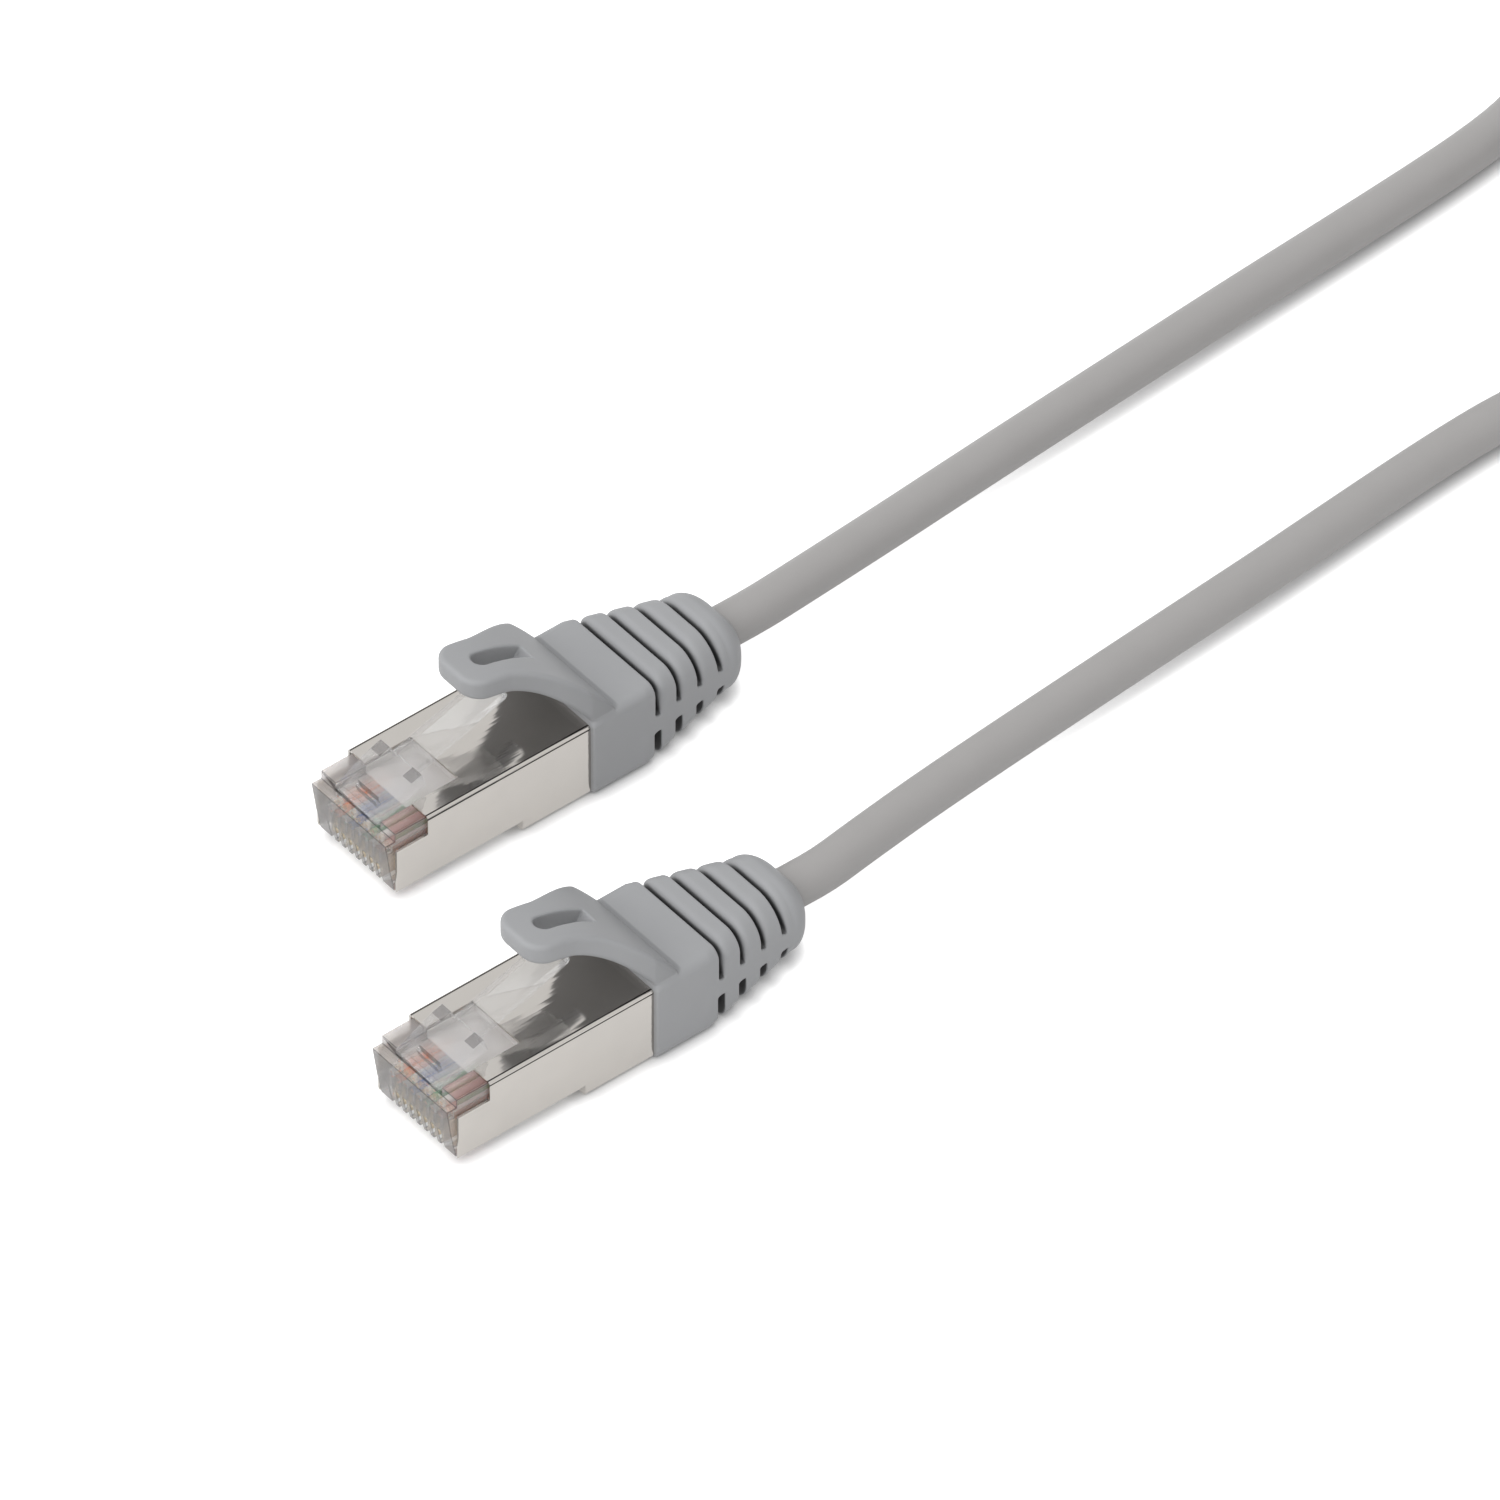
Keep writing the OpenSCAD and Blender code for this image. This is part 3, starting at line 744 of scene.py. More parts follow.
@dataclass
class FieldMesh:
    """Turns a distance field into a smooth closed quad mesh.

    A vertex is placed in every grid cell that the surface crosses and then moved on to the surface,
    so the mesh follows fillets that are finer than the grid.
    """

    low: Point
    high: Point
    step: float
    settle: int = 3
    reach: float = 0.02
    least_slope: float = 0.05

    def build(self, field: Field) -> tuple[Array, Array]:
        """Meshes the field.

        Args:
            field: Signed distance in millimetres, negative inside, from points as rows of x, y and z.

        Returns:
            Vertices and quads.
        """
        axes = [np.arange(a, b + self.step, self.step) for a, b in zip(self.low, self.high)]
        grid = np.meshgrid(*axes, indexing="ij")
        level = field(np.stack([g.ravel() for g in grid])).reshape(grid[0].shape)
        solid = level < 0
        number = self._crossed_cells(solid)
        points = self._cell_points(level, solid, number)
        quads = self._quads(solid, number)
        for _ in range(self.settle):
            points -= self._offset(field, points)
        return points, quads

    def _crossed_cells(self, solid: Array) -> Array:
        """Numbers the cells whose corners lie on both sides.

        Args:
            solid: Whether each grid point is inside.

        Returns:
            Each cell's number, or -1 for a cell that the surface doesn't cross.
        """
        nx, ny, nz = (n - 1 for n in solid.shape)
        corners = sum(
            solid[i:nx + i, j:ny + j, k:nz + k].astype(np.int8)
            for i in (0, 1) for j in (0, 1) for k in (0, 1)
        )
        crossed = (corners > 0) & (corners < 8)
        number = np.full(crossed.shape, -1, np.int64)
        number[crossed] = np.arange(crossed.sum())
        return number

    def _cell_points(self, level: Array, solid: Array, number: Array) -> Array:
        """Finds the mean of the places where the surface crosses each cell's edges.

        Args:
            level: The field at each grid point.
            solid: Whether each grid point is inside.
            number: Each cell's number.

        Returns:
            One point for each numbered cell.
        """
        cells = np.argwhere(number >= 0)
        total, count = np.zeros((len(cells), 3)), np.zeros((len(cells), 1))
        for axis in range(3):
            others = [a for a in range(3) if a != axis]
            for u in (0, 1):
                for v in (0, 1):
                    start = cells.copy()
                    start[:, others[0]] += u
                    start[:, others[1]] += v
                    stop = start.copy()
                    stop[:, axis] += 1
                    a, b = level[tuple(start.T)], level[tuple(stop.T)]
                    hit = solid[tuple(start.T)] != solid[tuple(stop.T)]
                    share = np.where(hit, a / np.where(hit, a - b, 1.0), 0.0)
                    place = start.astype(float)
                    place[:, axis] += share
                    total += place * hit[:, None]
                    count += hit[:, None]
        return np.array(self.low) + total / count * self.step

    def _quads(self, solid: Array, number: Array) -> Array:
        """Puts one quad round each grid edge that the surface crosses.

        Args:
            solid: Whether each grid point is inside.
            number: Each cell's number.

        Returns:
            The four points of each quad.
        """
        found = []
        for axis in range(3):
            b, c = (axis + 1) % 3, (axis + 2) % 3
            first = np.take(solid, range(solid.shape[axis] - 1), axis)
            second = np.take(solid, range(1, solid.shape[axis]), axis)
            for edges, flip in ((first & ~second, False), (~first & second, True)):
                at = np.argwhere(edges)
                ring = []
                for db, dc in ((0, 0), (-1, 0), (-1, -1), (0, -1)):
                    cell = at.copy()
                    cell[:, b] += db
                    cell[:, c] += dc
                    ring.append(number[tuple(cell.T)])
                found.append(np.stack(ring[::-1] if flip else ring, 1))
        return np.concatenate(found)

    def _offset(self, field: Field, points: Array) -> Array:
        """Finds the step from each point to the surface.

        Args:
            field: The signed distance.
            points: The points.

        Returns:
            Their steps, at most half a grid step long.
        """
        value = field(points.T)
        slope = np.stack([
            (field((points + shift).T) - field((points - shift).T)) / (2 * self.reach)
            for shift in np.eye(3) * self.reach
        ], 1)
        step = slope * (value / np.maximum((slope ** 2).sum(1), self.least_slope))[:, None]
        size = np.linalg.norm(step, axis=1, keepdims=True)
        return step * np.minimum(1.0, 0.5 * self.step / np.maximum(size, TINY))


# ------------------------------------------------------------ boot with guard


@dataclass
class GuardedBoot:
    """Moulded boot whose front block carries the arched guard over the latch, as one skin."""

    front_y: float = 24.0
    rear_y: float = 44.4
    width: float = 12.9
    height: float = 9.6
    edge_r: float = 1.0
    block_len: float = 7.45
    front_round: float = 0.25
    rear_round: float = 0.4
    seat_y: float = 25.3
    seat_z: float = 9.0
    seat_round: float = 0.3
    crease: Pair = (26.95, 9.75)
    crease_r: float = 0.32
    crease_round: float = 0.12
    crease_lead: float = 6.0
    slot_w: float = 0.65
    slot_depth: float = 2.0
    slot_pitch: float = 2.75
    slot_count: int = 4
    slot_round: Pair = (0.14, 0.2)
    low_slot_extra: float = 0.12
    rib_round: float = 0.8
    rib_rise: float = 3.0
    tail_w: float = 10.4
    tail_z: Pair = (0.2, 8.8)
    tail_edge_r: float = 4.1
    tail_round: float = 2.6
    tail_round_len: float = 2.7
    bridge_h: float = 2.1
    bridge_round: float = 0.3
    cable_z: float = 4.6
    bore_r: float = 2.25
    bore_round: float = 0.25
    collar_r: float = 2.65
    collar_len: float = 5.6
    collar_round: float = 0.1
    guard_t: float = 2.3
    guard_round: float = 0.6
    guard_root: Pair = (25.85, 9.0)
    guard_reach: float = 13.6
    guard_rise: float = 8.5
    arch_foot: Pair = (-0.27, 0.59)
    arch_crown: Pair = (0.51, -0.08)
    arch_run_on: Pair = (1.2, 3.0)
    arch_points: int = 33
    fillet: Pair = (0.6, 0.12)
    fillet_y: Pair = (25.2, 26.6)
    tab_half: float = 3.3
    tab_r: float = 2.2
    flare_y: float = 16.6
    flare_power: float = 1.4
    root_half: float = 6.3
    hole_y: Pair = (14.8, 20.2)
    hole_half: float = 0.95
    hole_round: float = 0.25
    hole_z: float = 14.2
    hole_lean: float = 0.7
    # Painted shade, laid on in the slots, along the crease and on the tongue ahead of it, where shade
    # falls.
    painted_shade_skin: float = 0.03
    painted_shade_fade: float = 0.12
    crease_fade: float = 0.2
    crease_painted_shade: float = 0.5
    lead_painted_shade: float = 0.27
    lead_power: float = 1.3
    tongue_lift: float = 0.2
    grid: float = 0.152

    def section(self, p: Array) -> Array:
        """Distance to the boot's outline, which turns from a block into a round tail.

        Args:
            p: Points, as rows of x, y and z.

        Returns:
            The distance at each point.
        """
        x, y, z = p
        start = self.front_y + self.block_len - (self.slot_pitch - self.slot_w) / 2
        t = ramp(y, start, self.slot_count * self.slot_pitch)
        low = t * self.tail_z[0]
        high = self.height + t * (self.tail_z[1] - self.height)
        half = (self.width + t * (self.tail_w - self.width)) / 2
        r = self.edge_r + t * (self.tail_edge_r - self.edge_r)
        last = ramp(y, self.rear_y - self.tail_round_len, self.tail_round_len)
        up = np.abs(z - (low + high) / 2) - ((high - low) / 2 - r)
        return rounded_corner(np.abs(x) - (half - r), up, r) + self.tail_round * last * last

    def body(self, p: Array) -> Array:
        """Distance to the boot without its guard.

        Args:
            p: Points, as rows of x, y and z.

        Returns:
            The distance at each point.
        """
        _, y, z = p
        outline = self.section(p)
        solid = common(outline, self.front_y - y, self.front_round)
        solid = common(solid, y - self.rear_y, self.rear_round)
        seat = np.maximum(y - self.seat_y, self.seat_z - z)
        solid = cut(solid, seat, self.seat_round)
        bridge = self.bridge_h / 2 - np.abs(z - self.cable_z)
        front_edge, rear_edge = self.slot_round
        rear_edge = rear_edge + self.rib_round * ramp(z, self.cable_z, self.rib_rise)
        for n in range(self.slot_count):
            middle = self.front_y + self.block_len + self.slot_w / 2 + n * self.slot_pitch
            slot = np.maximum(np.abs(y - middle) - self.slot_half(z), -(outline + self.slot_depth))
            slot = common(slot, bridge, self.bridge_round)
            solid = cut(solid, slot, np.where(y < middle, front_edge, rear_edge))
        return solid

    def slot_half(self, z: Array) -> Array:
        """Half a slot's width, which is a little more below the cable."""
        return self.slot_w / 2 + np.where(z < self.cable_z, self.low_slot_extra, 0.0)

    def arch(self) -> Array:
        """Finds the guard's middle line, run on past both ends.

        Returns:
            Its points, in y and z.
        """
        root, size = np.array(self.guard_root), np.array([self.guard_reach, self.guard_rise])
        tip = root + size * (-1.0, 1.0)
        foot, crown = root + size * self.arch_foot, tip + size * self.arch_crown
        t = np.linspace(0.0, 1.0, self.arch_points)[:, None]
        s = 1.0 - t
        line = s ** 3 * root + 3 * s * s * t * foot + 3 * s * t * t * crown + t ** 3 * tip
        ways = line[0] - line[1], line[-1] - line[-2]
        before, after = (way / np.linalg.norm(way) * run for way, run in zip(ways, self.arch_run_on))
        return np.vstack([line[0] + before, line, line[-1] + after])

    def guard(self, p: Array) -> Array:
        """Distance to the arched guard.

        Args:
            p: Points, as rows of x, y and z.

        Returns:
            The distance at each point.
        """
        x, y, z = p
        line = self.arch()
        here = np.stack([y, z], 1)
        nearest = np.full(len(y), np.inf)
        for a, b in zip(line[:-1], line[1:]):
            along = b - a
            t = np.clip((here - a) @ along / (along @ along), 0.0, 1.0)
            nearest = np.minimum(nearest, np.hypot(*(here - a - t[:, None] * along).T))
        flare = ramp(y, self.flare_y, self.front_y - self.flare_y) ** self.flare_power
        half = self.tab_half + (self.root_half - self.tab_half) * flare
        tip_y = self.guard_root[0] - self.guard_reach
        plan = rounded_corner(np.abs(x) - (half - self.tab_r), tip_y + self.tab_r - y, self.tab_r)
        solid = common(nearest - self.guard_t / 2, plan, self.guard_round)
        return cut(solid, self.hole(p), self.hole_round)

    def hole(self, p: Array) -> Array:
        """Distance to the guard's hole: round in front, with a square rear wall that leans back.

        Args:
            p: Points, as rows of x, y and z.

        Returns:
            The distance at each point.
        """
        x, y, z = p
        front, rear = self.hole_y
        centre = front + self.hole_half
        ahead = np.hypot(x, np.minimum(y - centre, 0.0)) - self.hole_half
        wall = y - rear - (z - self.hole_z) * self.hole_lean
        return np.maximum(ahead, wall / math.hypot(1.0, self.hole_lean))

    def crease_line(self, p: Array) -> Array:
        """Distance to the round line of the crease behind the guard."""
        return np.hypot(p[1] - self.crease[0], p[2] - self.crease[1]) - self.crease_r

    def field(self, p: Array) -> Array:
        """Distance to the whole moulding.

        Args:
            p: Points, as rows of x, y and z.

        Returns:
            The distance at each point.
        """
        x, y, z = p
        (wide, narrow), (start, stop) = self.fillet, self.fillet_y
        fillet = wide - (wide - narrow) * ramp(y, start, stop - start)
        solid = joined(self.body(p), self.guard(p), fillet)
        solid = cut(solid, self.crease_line(p), self.crease_round)
        axis = np.hypot(x, z - self.cable_z)
        solid = cut(solid, axis - self.bore_r, self.bore_round)
        collar = np.maximum(axis - self.collar_r, y - self.front_y - self.collar_len)
        return cut(solid, collar, self.collar_round)

    def painted_shade(self, points: Array) -> Array:
        """Finds how much painted shade each point gets: deep in a slot, along the crease behind the
        guard, and on the tongue just ahead of it.

        Args:
            points: The moulding's vertices.

        Returns:
            Their painted shade, from 0 to 1.
        """
        p = points.T
        _, y, z = p
        first = self.front_y + self.block_len + self.slot_w / 2
        nearest = np.clip(np.round((y - first) / self.slot_pitch), 0, self.slot_count - 1)
        middle = first + self.slot_pitch * nearest
        # Painted shade: darkest deep in the slots and along the crease, and fading in on the tongue
        # towards the crease.
        across = ramp(self.slot_half(z) - np.abs(y - middle), -self.painted_shade_fade, self.painted_shade_fade)
        slots = across * ramp(-self.section(p), self.painted_shade_skin, self.painted_shade_fade)
        line = self.crease_painted_shade * ramp(-self.crease_line(p), -self.crease_round, self.crease_fade)
        ahead = ramp(y, self.crease[0] - self.crease_lead, self.crease_lead) ** self.lead_power
        tongue = (y < self.crease[0]) & (z > self.height + self.tongue_lift)
        return np.maximum(slots, np.maximum(line, np.where(tongue, self.lead_painted_shade * ahead, 0.0)))

    def mesh(self) -> tuple[Array, Array]:
        """Meshes the moulding.

        Returns:
            Its vertices, local to an end, and its quads.
        """
        margin = 3 * self.grid
        low = (-self.width / 2 - margin, self.guard_root[0] - self.guard_reach - margin, -margin)
        top = self.guard_root[1] + self.guard_rise + self.guard_t
        high = (self.width / 2 + margin, self.rear_y + margin, top)
        return FieldMesh(low, high, self.grid).build(self.field)


# ------------------------------------------------------- contacts and wires


@dataclass
class BladeRow:
    """Eight stamped contact blades: a deep rounded foot, and teeth that reach the copper."""

    count: int = 8
    pitch: float = 1.02
    thickness: float = 0.32
    y: Pair = (1.05, 5.9)
    z: Pair = (1.7, 4.95)
    teeth_y: Pair = (2.0, 4.6)
    teeth_z: float = 5.15
    corner_r: float = 0.4
    corner_steps: int = 6
    tooth_half: float = 0.3
    notch_z: float = 0.02

    def __post_init__(self) -> None:
        """Builds the tree that repeats a blade along x."""
        inputs = {"Count": "Int", "Pitch": "Float", "Start": "Float", "Material": "Material"}
        g = self.tree = Shaper("blade_row", inputs)
        first = g.node("ShaderNodeCombineXYZ", None, {"X": g.given("Start")})
        step = g.node("ShaderNodeCombineXYZ", None, {"X": g.given("Pitch")})
        line = g.node("GeometryNodeMeshLine", None, {
            "Count": g.given("Count"), "Start Location": first.outputs[0], "Offset": step.outputs[0],
        })
        row = g.node("GeometryNodeInstanceOnPoints", None, {
            "Points": line.outputs[0], "Instance": g.start.outputs["Geometry"],
        })
        g.finish(row.outputs[0])

    def outline(self) -> list[Pair]:
        """Finds the blade's outline.

        Returns:
            Its points, in y and z.
        """
        (y0, y1), (z0, z1), (t0, t1) = self.y, self.z, self.teeth_y
        r, tooth, middle = self.corner_r, self.teeth_z, (t0 + t1) / 2
        turns = [math.radians(90 * k / self.corner_steps) for k in range(self.corner_steps + 1)]
        corner = [(y0 + r - r * math.sin(a), z0 + r - r * math.cos(a)) for a in turns]
        top = [(y0, z1), (t0, z1), (t0, tooth), (middle - self.tooth_half, tooth),
               (middle, z1 + self.notch_z), (middle + self.tooth_half, tooth), (t1, tooth), (t1, z1),
               (y1, z1)]
        return [(y1, z0), *corner, *top]

    def build(self, name: str, origin: Vector, material: Material) -> Piece:
        """Makes the row.

        Args:
            name: The piece's name.
            origin: The end's place.
            material: The blades' finish.

        Returns:
            The row as a plain mesh.
        """
        work = bmesh.new()
        face = work.faces.new([
            work.verts.new(Vector((-self.thickness / 2, y, z)) * MM + origin) for y, z in self.outline()
        ])
        grown = bmesh.ops.extrude_face_region(work, geom=[face])["geom"]
        moved = [v for v in grown if isinstance(v, bmesh.types.BMVert)]
        bmesh.ops.translate(work, verts=moved, vec=(self.thickness * MM, 0, 0))
        bmesh.ops.recalc_face_normals(work, faces=work.faces)
        return self.tree.run(new_object(name, mesh_of(work, name)), {
            "Count": self.count, "Pitch": self.pitch * MM,
            "Start": -(self.count - 1) / 2 * self.pitch * MM, "Material": material,
        })


@dataclass
class WireFan:
    """Eight insulated wires that run in a row through the plug and fan in to the cable's round."""

    count: int = 8
    pitch: float = 1.02
    diameter: float = 0.84
    sides: int = 20
    row_z: float = 5.4
    cable_z: float = 4.6
    bundle_r: float = 1.2
    y: tuple[float, float, float, float, float] = (1.7, 11.2, 14.6, 18.6, 44.35)
    fan_side: float = 0.35
    fan_up: float = 0.8

    def __post_init__(self) -> None:
        """Builds the tree that gives a path its round section and marks one side of it."""
        inputs = {"Diameter": "Float", "Sides": "Int", "Material": "Material"}
        g = self.tree = Shaper("insulated_wire", inputs)
        radius = g.given("Diameter") * 0.5
        circle = g.node("GeometryNodeCurvePrimitiveCircle", None, {
            "Resolution": g.given("Sides"), "Radius": radius,
        })
        spot = g.node("GeometryNodeInputPosition").outputs[0]
        place = g.node("ShaderNodeSeparateXYZ", None, {"Vector": spot})
        side = g.node("GeometryNodeStoreNamedAttribute", {"data_type": "FLOAT", "domain": "POINT"}, {
            "Geometry": circle.outputs[0], "Name": SIDE, "Value": g.value(place, "Y") / radius,
        })
        line = g.node("GeometryNodeMeshToCurve", None, {"Mesh": g.start.outputs["Geometry"]})
        swept = g.node("GeometryNodeCurveToMesh", None, {
            "Curve": line.outputs[0], "Profile Curve": side.outputs[0], "Fill Caps": True,
        })
        smooth = g.node("GeometryNodeSetShadeSmooth", None, {"Geometry": swept.outputs[0]})
        g.finish(smooth.outputs[0])

    def path(self, number: int) -> list[Vector]:
        """Finds one wire's path.

        Args:
            number: Which wire, from 0 at the -x side.

        Returns:
            Its points, local to an end.
        """
        x = (number - (self.count - 1) / 2) * self.pitch
        angle = math.pi - (number // 2 + 0.5) * 2 * math.pi / self.count
        far_x = self.bundle_r * math.cos(angle)
        far_z = self.cable_z + (1 if number % 2 == 0 else -1) * self.bundle_r * math.sin(angle)
        turn_x = x + (far_x - x) * self.fan_side
        turn_z = self.row_z + (far_z - self.row_z) * self.fan_up
        xs, zs = (x, x, turn_x, far_x, far_x), (self.row_z, self.row_z, turn_z, far_z, far_z)
        return [Vector(p) for p in zip(xs, self.y, zs)]

    def build(self, name: str, number: int, origin: Vector,
              material: Material) -> Piece:
        """Makes one wire.

        Args:
            name: The piece's name.
            number: Which wire, from 0 at the -x side.
            origin: The end's place.
            material: The wire's finish.

        Returns:
            The wire as a plain mesh.
        """
        path = [p * MM + origin for p in self.path(number)]
        mesh = bpy.data.meshes.new(name)
        mesh.from_pydata(path, [(i, i + 1) for i in range(len(path) - 1)], [])
        return self.tree.run(new_object(name, mesh), {
            "Diameter": self.diameter * MM, "Sides": self.sides, "Material": material,
        })


# -------------------------------------------------------------------- one end

BODY_FINISHES_AND_SHADES = (Finish.CLEAR, Finish.MILKY, Finish.BORE, Finish.FACE, Finish.CORNER, Finish.EDGE)
INNER_FINISHES = {
    "load_bar": Finish.CLEAR, "copper_cores": Finish.COPPER, "foil_wrap": Finish.FOIL,
    "drain_wire": Finish.TIN, "jacket_end": Finish.JACKET,
}


@dataclass
class PlugEnd:
    """One end of the lead: plug, boot and guard."""

    end: End
    finishes: Finishes
    blend_from: Point = (0.0, 25.0, 8.9)
    blend_to: Point = (0.0, 22.9, 11.9)
    shield_w: float = 11.9
    shield_top: float = 8.7
    sheet_edge: float = 0.03
    fold_r: float = 0.35
    groove_w: float = 0.1
    groove_depth: float = 0.12
    groove_out: float = 1.0
    groove_y: Pair = (4.0, 23.9)
    body_edge: float = 0.1
    milky_y: Pair = (4.75, 7.8)
    channel_half: float = 3.5
    core_low: Point = (-1.0, 1.3, 1.3)
    core_high: Point = (4.3, 10.3, 7.35)
    nose_y: float = 1.0
    corner_y: float = 2.0
    latch_edge: float = 0.08
    arm_half: float = 1.7
    latch_slot_y: Pair = (1.9, 2.6)
    shoulder_y: Pair = (5.2, 6.4)
    flat: float = 0.97
    upright: float = 0.9
    frontal: float = 0.5
    leaning: float = 0.6

    def __post_init__(self) -> None:
        """Finds the end's place from the frame."""
        low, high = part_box("plug_body_" + self.end.value)
        self.origin = Vector(((low.x + high.x) / 2, low.y, 0.0))

    def name(self, piece: str) -> str:
        """The piece's name at this end."""
        return f"{piece}_{self.end.value}"

    def placed(self, points: Array) -> Array:
        """Local millimetres as metres in the frame."""
        return points * MM + np.array(self.origin)

    def moulding(self, points: Array, quads: Array, painted_shade: Array) -> Piece:
        """The boot and its guard, as one piece.

        Args:
            points: The moulding's vertices, local to the end.
            quads: Its faces.
            painted_shade: How much painted shade each vertex gets, in the slots, along the crease and
                on the tongue ahead of it.

        Returns:
            The finished piece.
        """
        name = self.name("guarded_boot")
        mesh = bpy.data.meshes.new(name)
        mesh.from_pydata(self.placed(points).tolist(), [], quads.tolist())
        # Stores the painted shade that the boot's material reads.
        mesh.attributes.new(PAINTED_SHADE_ATTRIBUTE, "FLOAT", "POINT").data.foreach_set("value", painted_shade)
        mesh.shade_smooth()
        mesh.materials.append(self.finishes[Finish.BOOT])
        piece = new_object(name, mesh)
        start, stop = np.array(self.blend_from), np.array(self.blend_to)
        self.name("guard")
        self.placed(start)
        self.placed(stop)
        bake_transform(piece)
        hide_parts(self.name("boot"), self.name("latch_guard"))
        return piece

    def fold_grooves(self) -> list[tuple[Vector, Vector]]:
        """Finds the fine grooves on both sides of the sheet's rounded top folds, whose faces get
        painted shade.

        Returns:
            The lowest and highest corner of each groove.
        """
        half, depth, out = self.groove_w / 2, self.groove_depth, self.groove_out
        side, top, r = self.shield_w / 2, self.shield_top, self.fold_r
        y0, y1 = self.groove_y
        spans = (
            ((side - r - half, side - r + half), (top - depth, top + out)),
            ((side - depth, side + out), (top - r - half, top - r + half)),
        )
        found = []
        for mirror in (-1, 1):
            for xs, (z0, z1) in spans:
                x0, x1 = sorted(mirror * x for x in xs)
                low, high = Vector((x0, y0, z0)) * MM, Vector((x1, y1, z1)) * MM
                found.append((low + self.origin, high + self.origin))
        return found

    def shield(self) -> Piece:
        """Makes the plated shield.

        Returns:
            The piece.
        """
        grooves = self.fold_grooves()
        materials = [self.finishes[finish] for finish in (Finish.SHEET, Finish.SEAM)]
        piece = softened_copy(self.name("shield"), self.name("plated_shield"), self.sheet_edge,
                              materials, grooves)
        reach = Vector((1, 1, 1)) * self.groove_w / 2 * MM
        # Faces in the fold grooves get painted shade, a dark metal where shade falls in them.
        for face in piece.data.polygons:
            face.material_index = int(any(
                inside(face.center, low - reach, high + reach) for low, high in grooves
            ))
        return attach(piece, ROOT)

    def clear_body(self) -> Piece:
        """Makes the clear moulding.

        Returns:
            The piece.
        """
        ahead = Vector((0, 1, 0))
        splits = [(self.origin + ahead * y * MM, ahead) for y in self.milky_y]
        materials = [self.finishes[finish] for finish in BODY_FINISHES_AND_SHADES]
        piece = softened_copy(self.name("plug_body"), self.name("clear_body"), self.body_edge,
                              materials, splits=splits)
        # Each face gets a finish, or painted shade on edges and the nose's front face, or the painted
        # tint of the +x corner.
        for face in piece.data.polygons:
            finish = self.body_finish_or_shade((face.center - self.origin) / MM, face.normal)
            face.material_index = BODY_FINISHES_AND_SHADES.index(finish)
        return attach(piece, ROOT)

    def body_finish_or_shade(self, place: Vector, normal: Vector) -> Finish:
        """Chooses the finish, painted shade or painted tint of a face of the clear moulding.

        Args:
            place: The face's centre, local to the end.
            normal: Its normal.

        Returns:
            One of the moulding's finishes, painted shades or painted tint.
        """
        channel_y, rear_y = self.milky_y
        aside = abs(place.x)
        if inside((aside, place.y, place.z), self.core_low, self.core_high):
            return Finish.BORE
        if place.y > rear_y or (place.y > channel_y and aside < self.channel_half):
            return Finish.MILKY
        # Bevelled faces, and after them the nose's slot walls, get painted shade.
        if max(abs(n) for n in normal) < self.flat:
            return Finish.EDGE
        if place.y < self.core_low[1] and abs(normal.x) > self.upright and aside < self.core_high[0]:
            return Finish.EDGE
        # The nose's front face gets painted shade.
        if normal.y < -self.frontal and place.y < self.nose_y:
            return Finish.FACE
        # The +x side's corner gets the painted tint of the brown wire seen through it.
        if place.x > self.channel_half and place.y > self.corner_y:
            return Finish.CORNER
        return Finish.CLEAR

    def clear_latch(self) -> Piece:
        """Makes the clear latch.

        Returns:
            The piece.
        """
        across = Vector((1, 0, 0))
        splits = [(self.origin + across * x * MM, across) for x in (-self.arm_half, self.arm_half)]
        materials = [self.finishes[finish] for finish in (Finish.LATCH, Finish.DUSK)]
        piece = softened_copy(self.name("latch"), self.name("clear_latch"), self.latch_edge,
                              materials, splits=splits)
        # The slot's walls and the shoulders' tops get the painted shade.
        for face in piece.data.polygons:
            face.material_index = int(self.gets_painted_shade((face.center - self.origin) / MM, face.normal))
        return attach(piece, self.name("lever"))

    def gets_painted_shade(self, place: Vector, normal: Vector) -> bool:
        """Tells the latch's faces that get painted shade: its slot's walls and its shoulders' tops.

        Args:
            place: The face's centre, local to the end.
            normal: Its normal.

        Returns:
            Whether the face is one of them.
        """
        on_arm = abs(place.x) < self.arm_half
        low, high = self.latch_slot_y if on_arm else self.shoulder_y
        turned = abs(normal.y) > self.leaning if on_arm else normal.z > self.upright
        return turned and low < place.y < high

    def contacts(self, row: BladeRow) -> Piece:
        """Makes the gold-plated contact blades.

        Args:
            row: Their common rule.

        Returns:
            The piece.
        """
        piece = row.build(self.name("contact_blades"), self.origin, self.finishes[Finish.GOLD])
        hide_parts(self.name("contacts"))
        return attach(piece, ROOT)

    def wires(self, fan: WireFan) -> list[Piece]:
        """The eight insulated wires.

        Args:
            fan: Their common rule.

        Returns:
            One piece for each wire.
        """
        pieces = []
        for number, (colour, material) in enumerate(self.finishes.wires.items()):
            piece = fan.build(self.name("insulation_" + colour), number, self.origin, material)
            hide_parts(self.name("wire_" + colour))
            "wire_" + colour
            pieces.append(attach(piece, ROOT))
        return pieces

    def dress_inside(self) -> None:
        """Gives the inner frame nodes that stay their materials."""
        for piece, finish in INNER_FINISHES.items():
            mesh = bpy.data.objects[self.name(piece)].data
            mesh.materials.clear()
            mesh.materials.append(self.finishes[finish])


# ---------------------------------------------------------------------- cable


def through(p: Sequence[Array], i: int, t: float) -> Array:
    """Finds a point on the smooth curve through p.

    Args:
        p: The points that it passes.
        i: The number of the point behind.
        t: Share of the way from that point to the next.

    Returns:
        The point.
    """
    n = len(p) - 1
    a = 2 * p[0] - p[1] if i == 0 else p[i - 1]
    d = 2 * p[n] - p[n - 1] if i + 2 > n else p[i + 2]
    return 0.5 * (
        2 * p[i] + (p[i + 1] - a) * t
        + (2 * a - 5 * p[i] + 4 * p[i + 1] - d) * t * t
        + (3 * p[i] - a - 3 * p[i + 1] + d) * t ** 3
    )


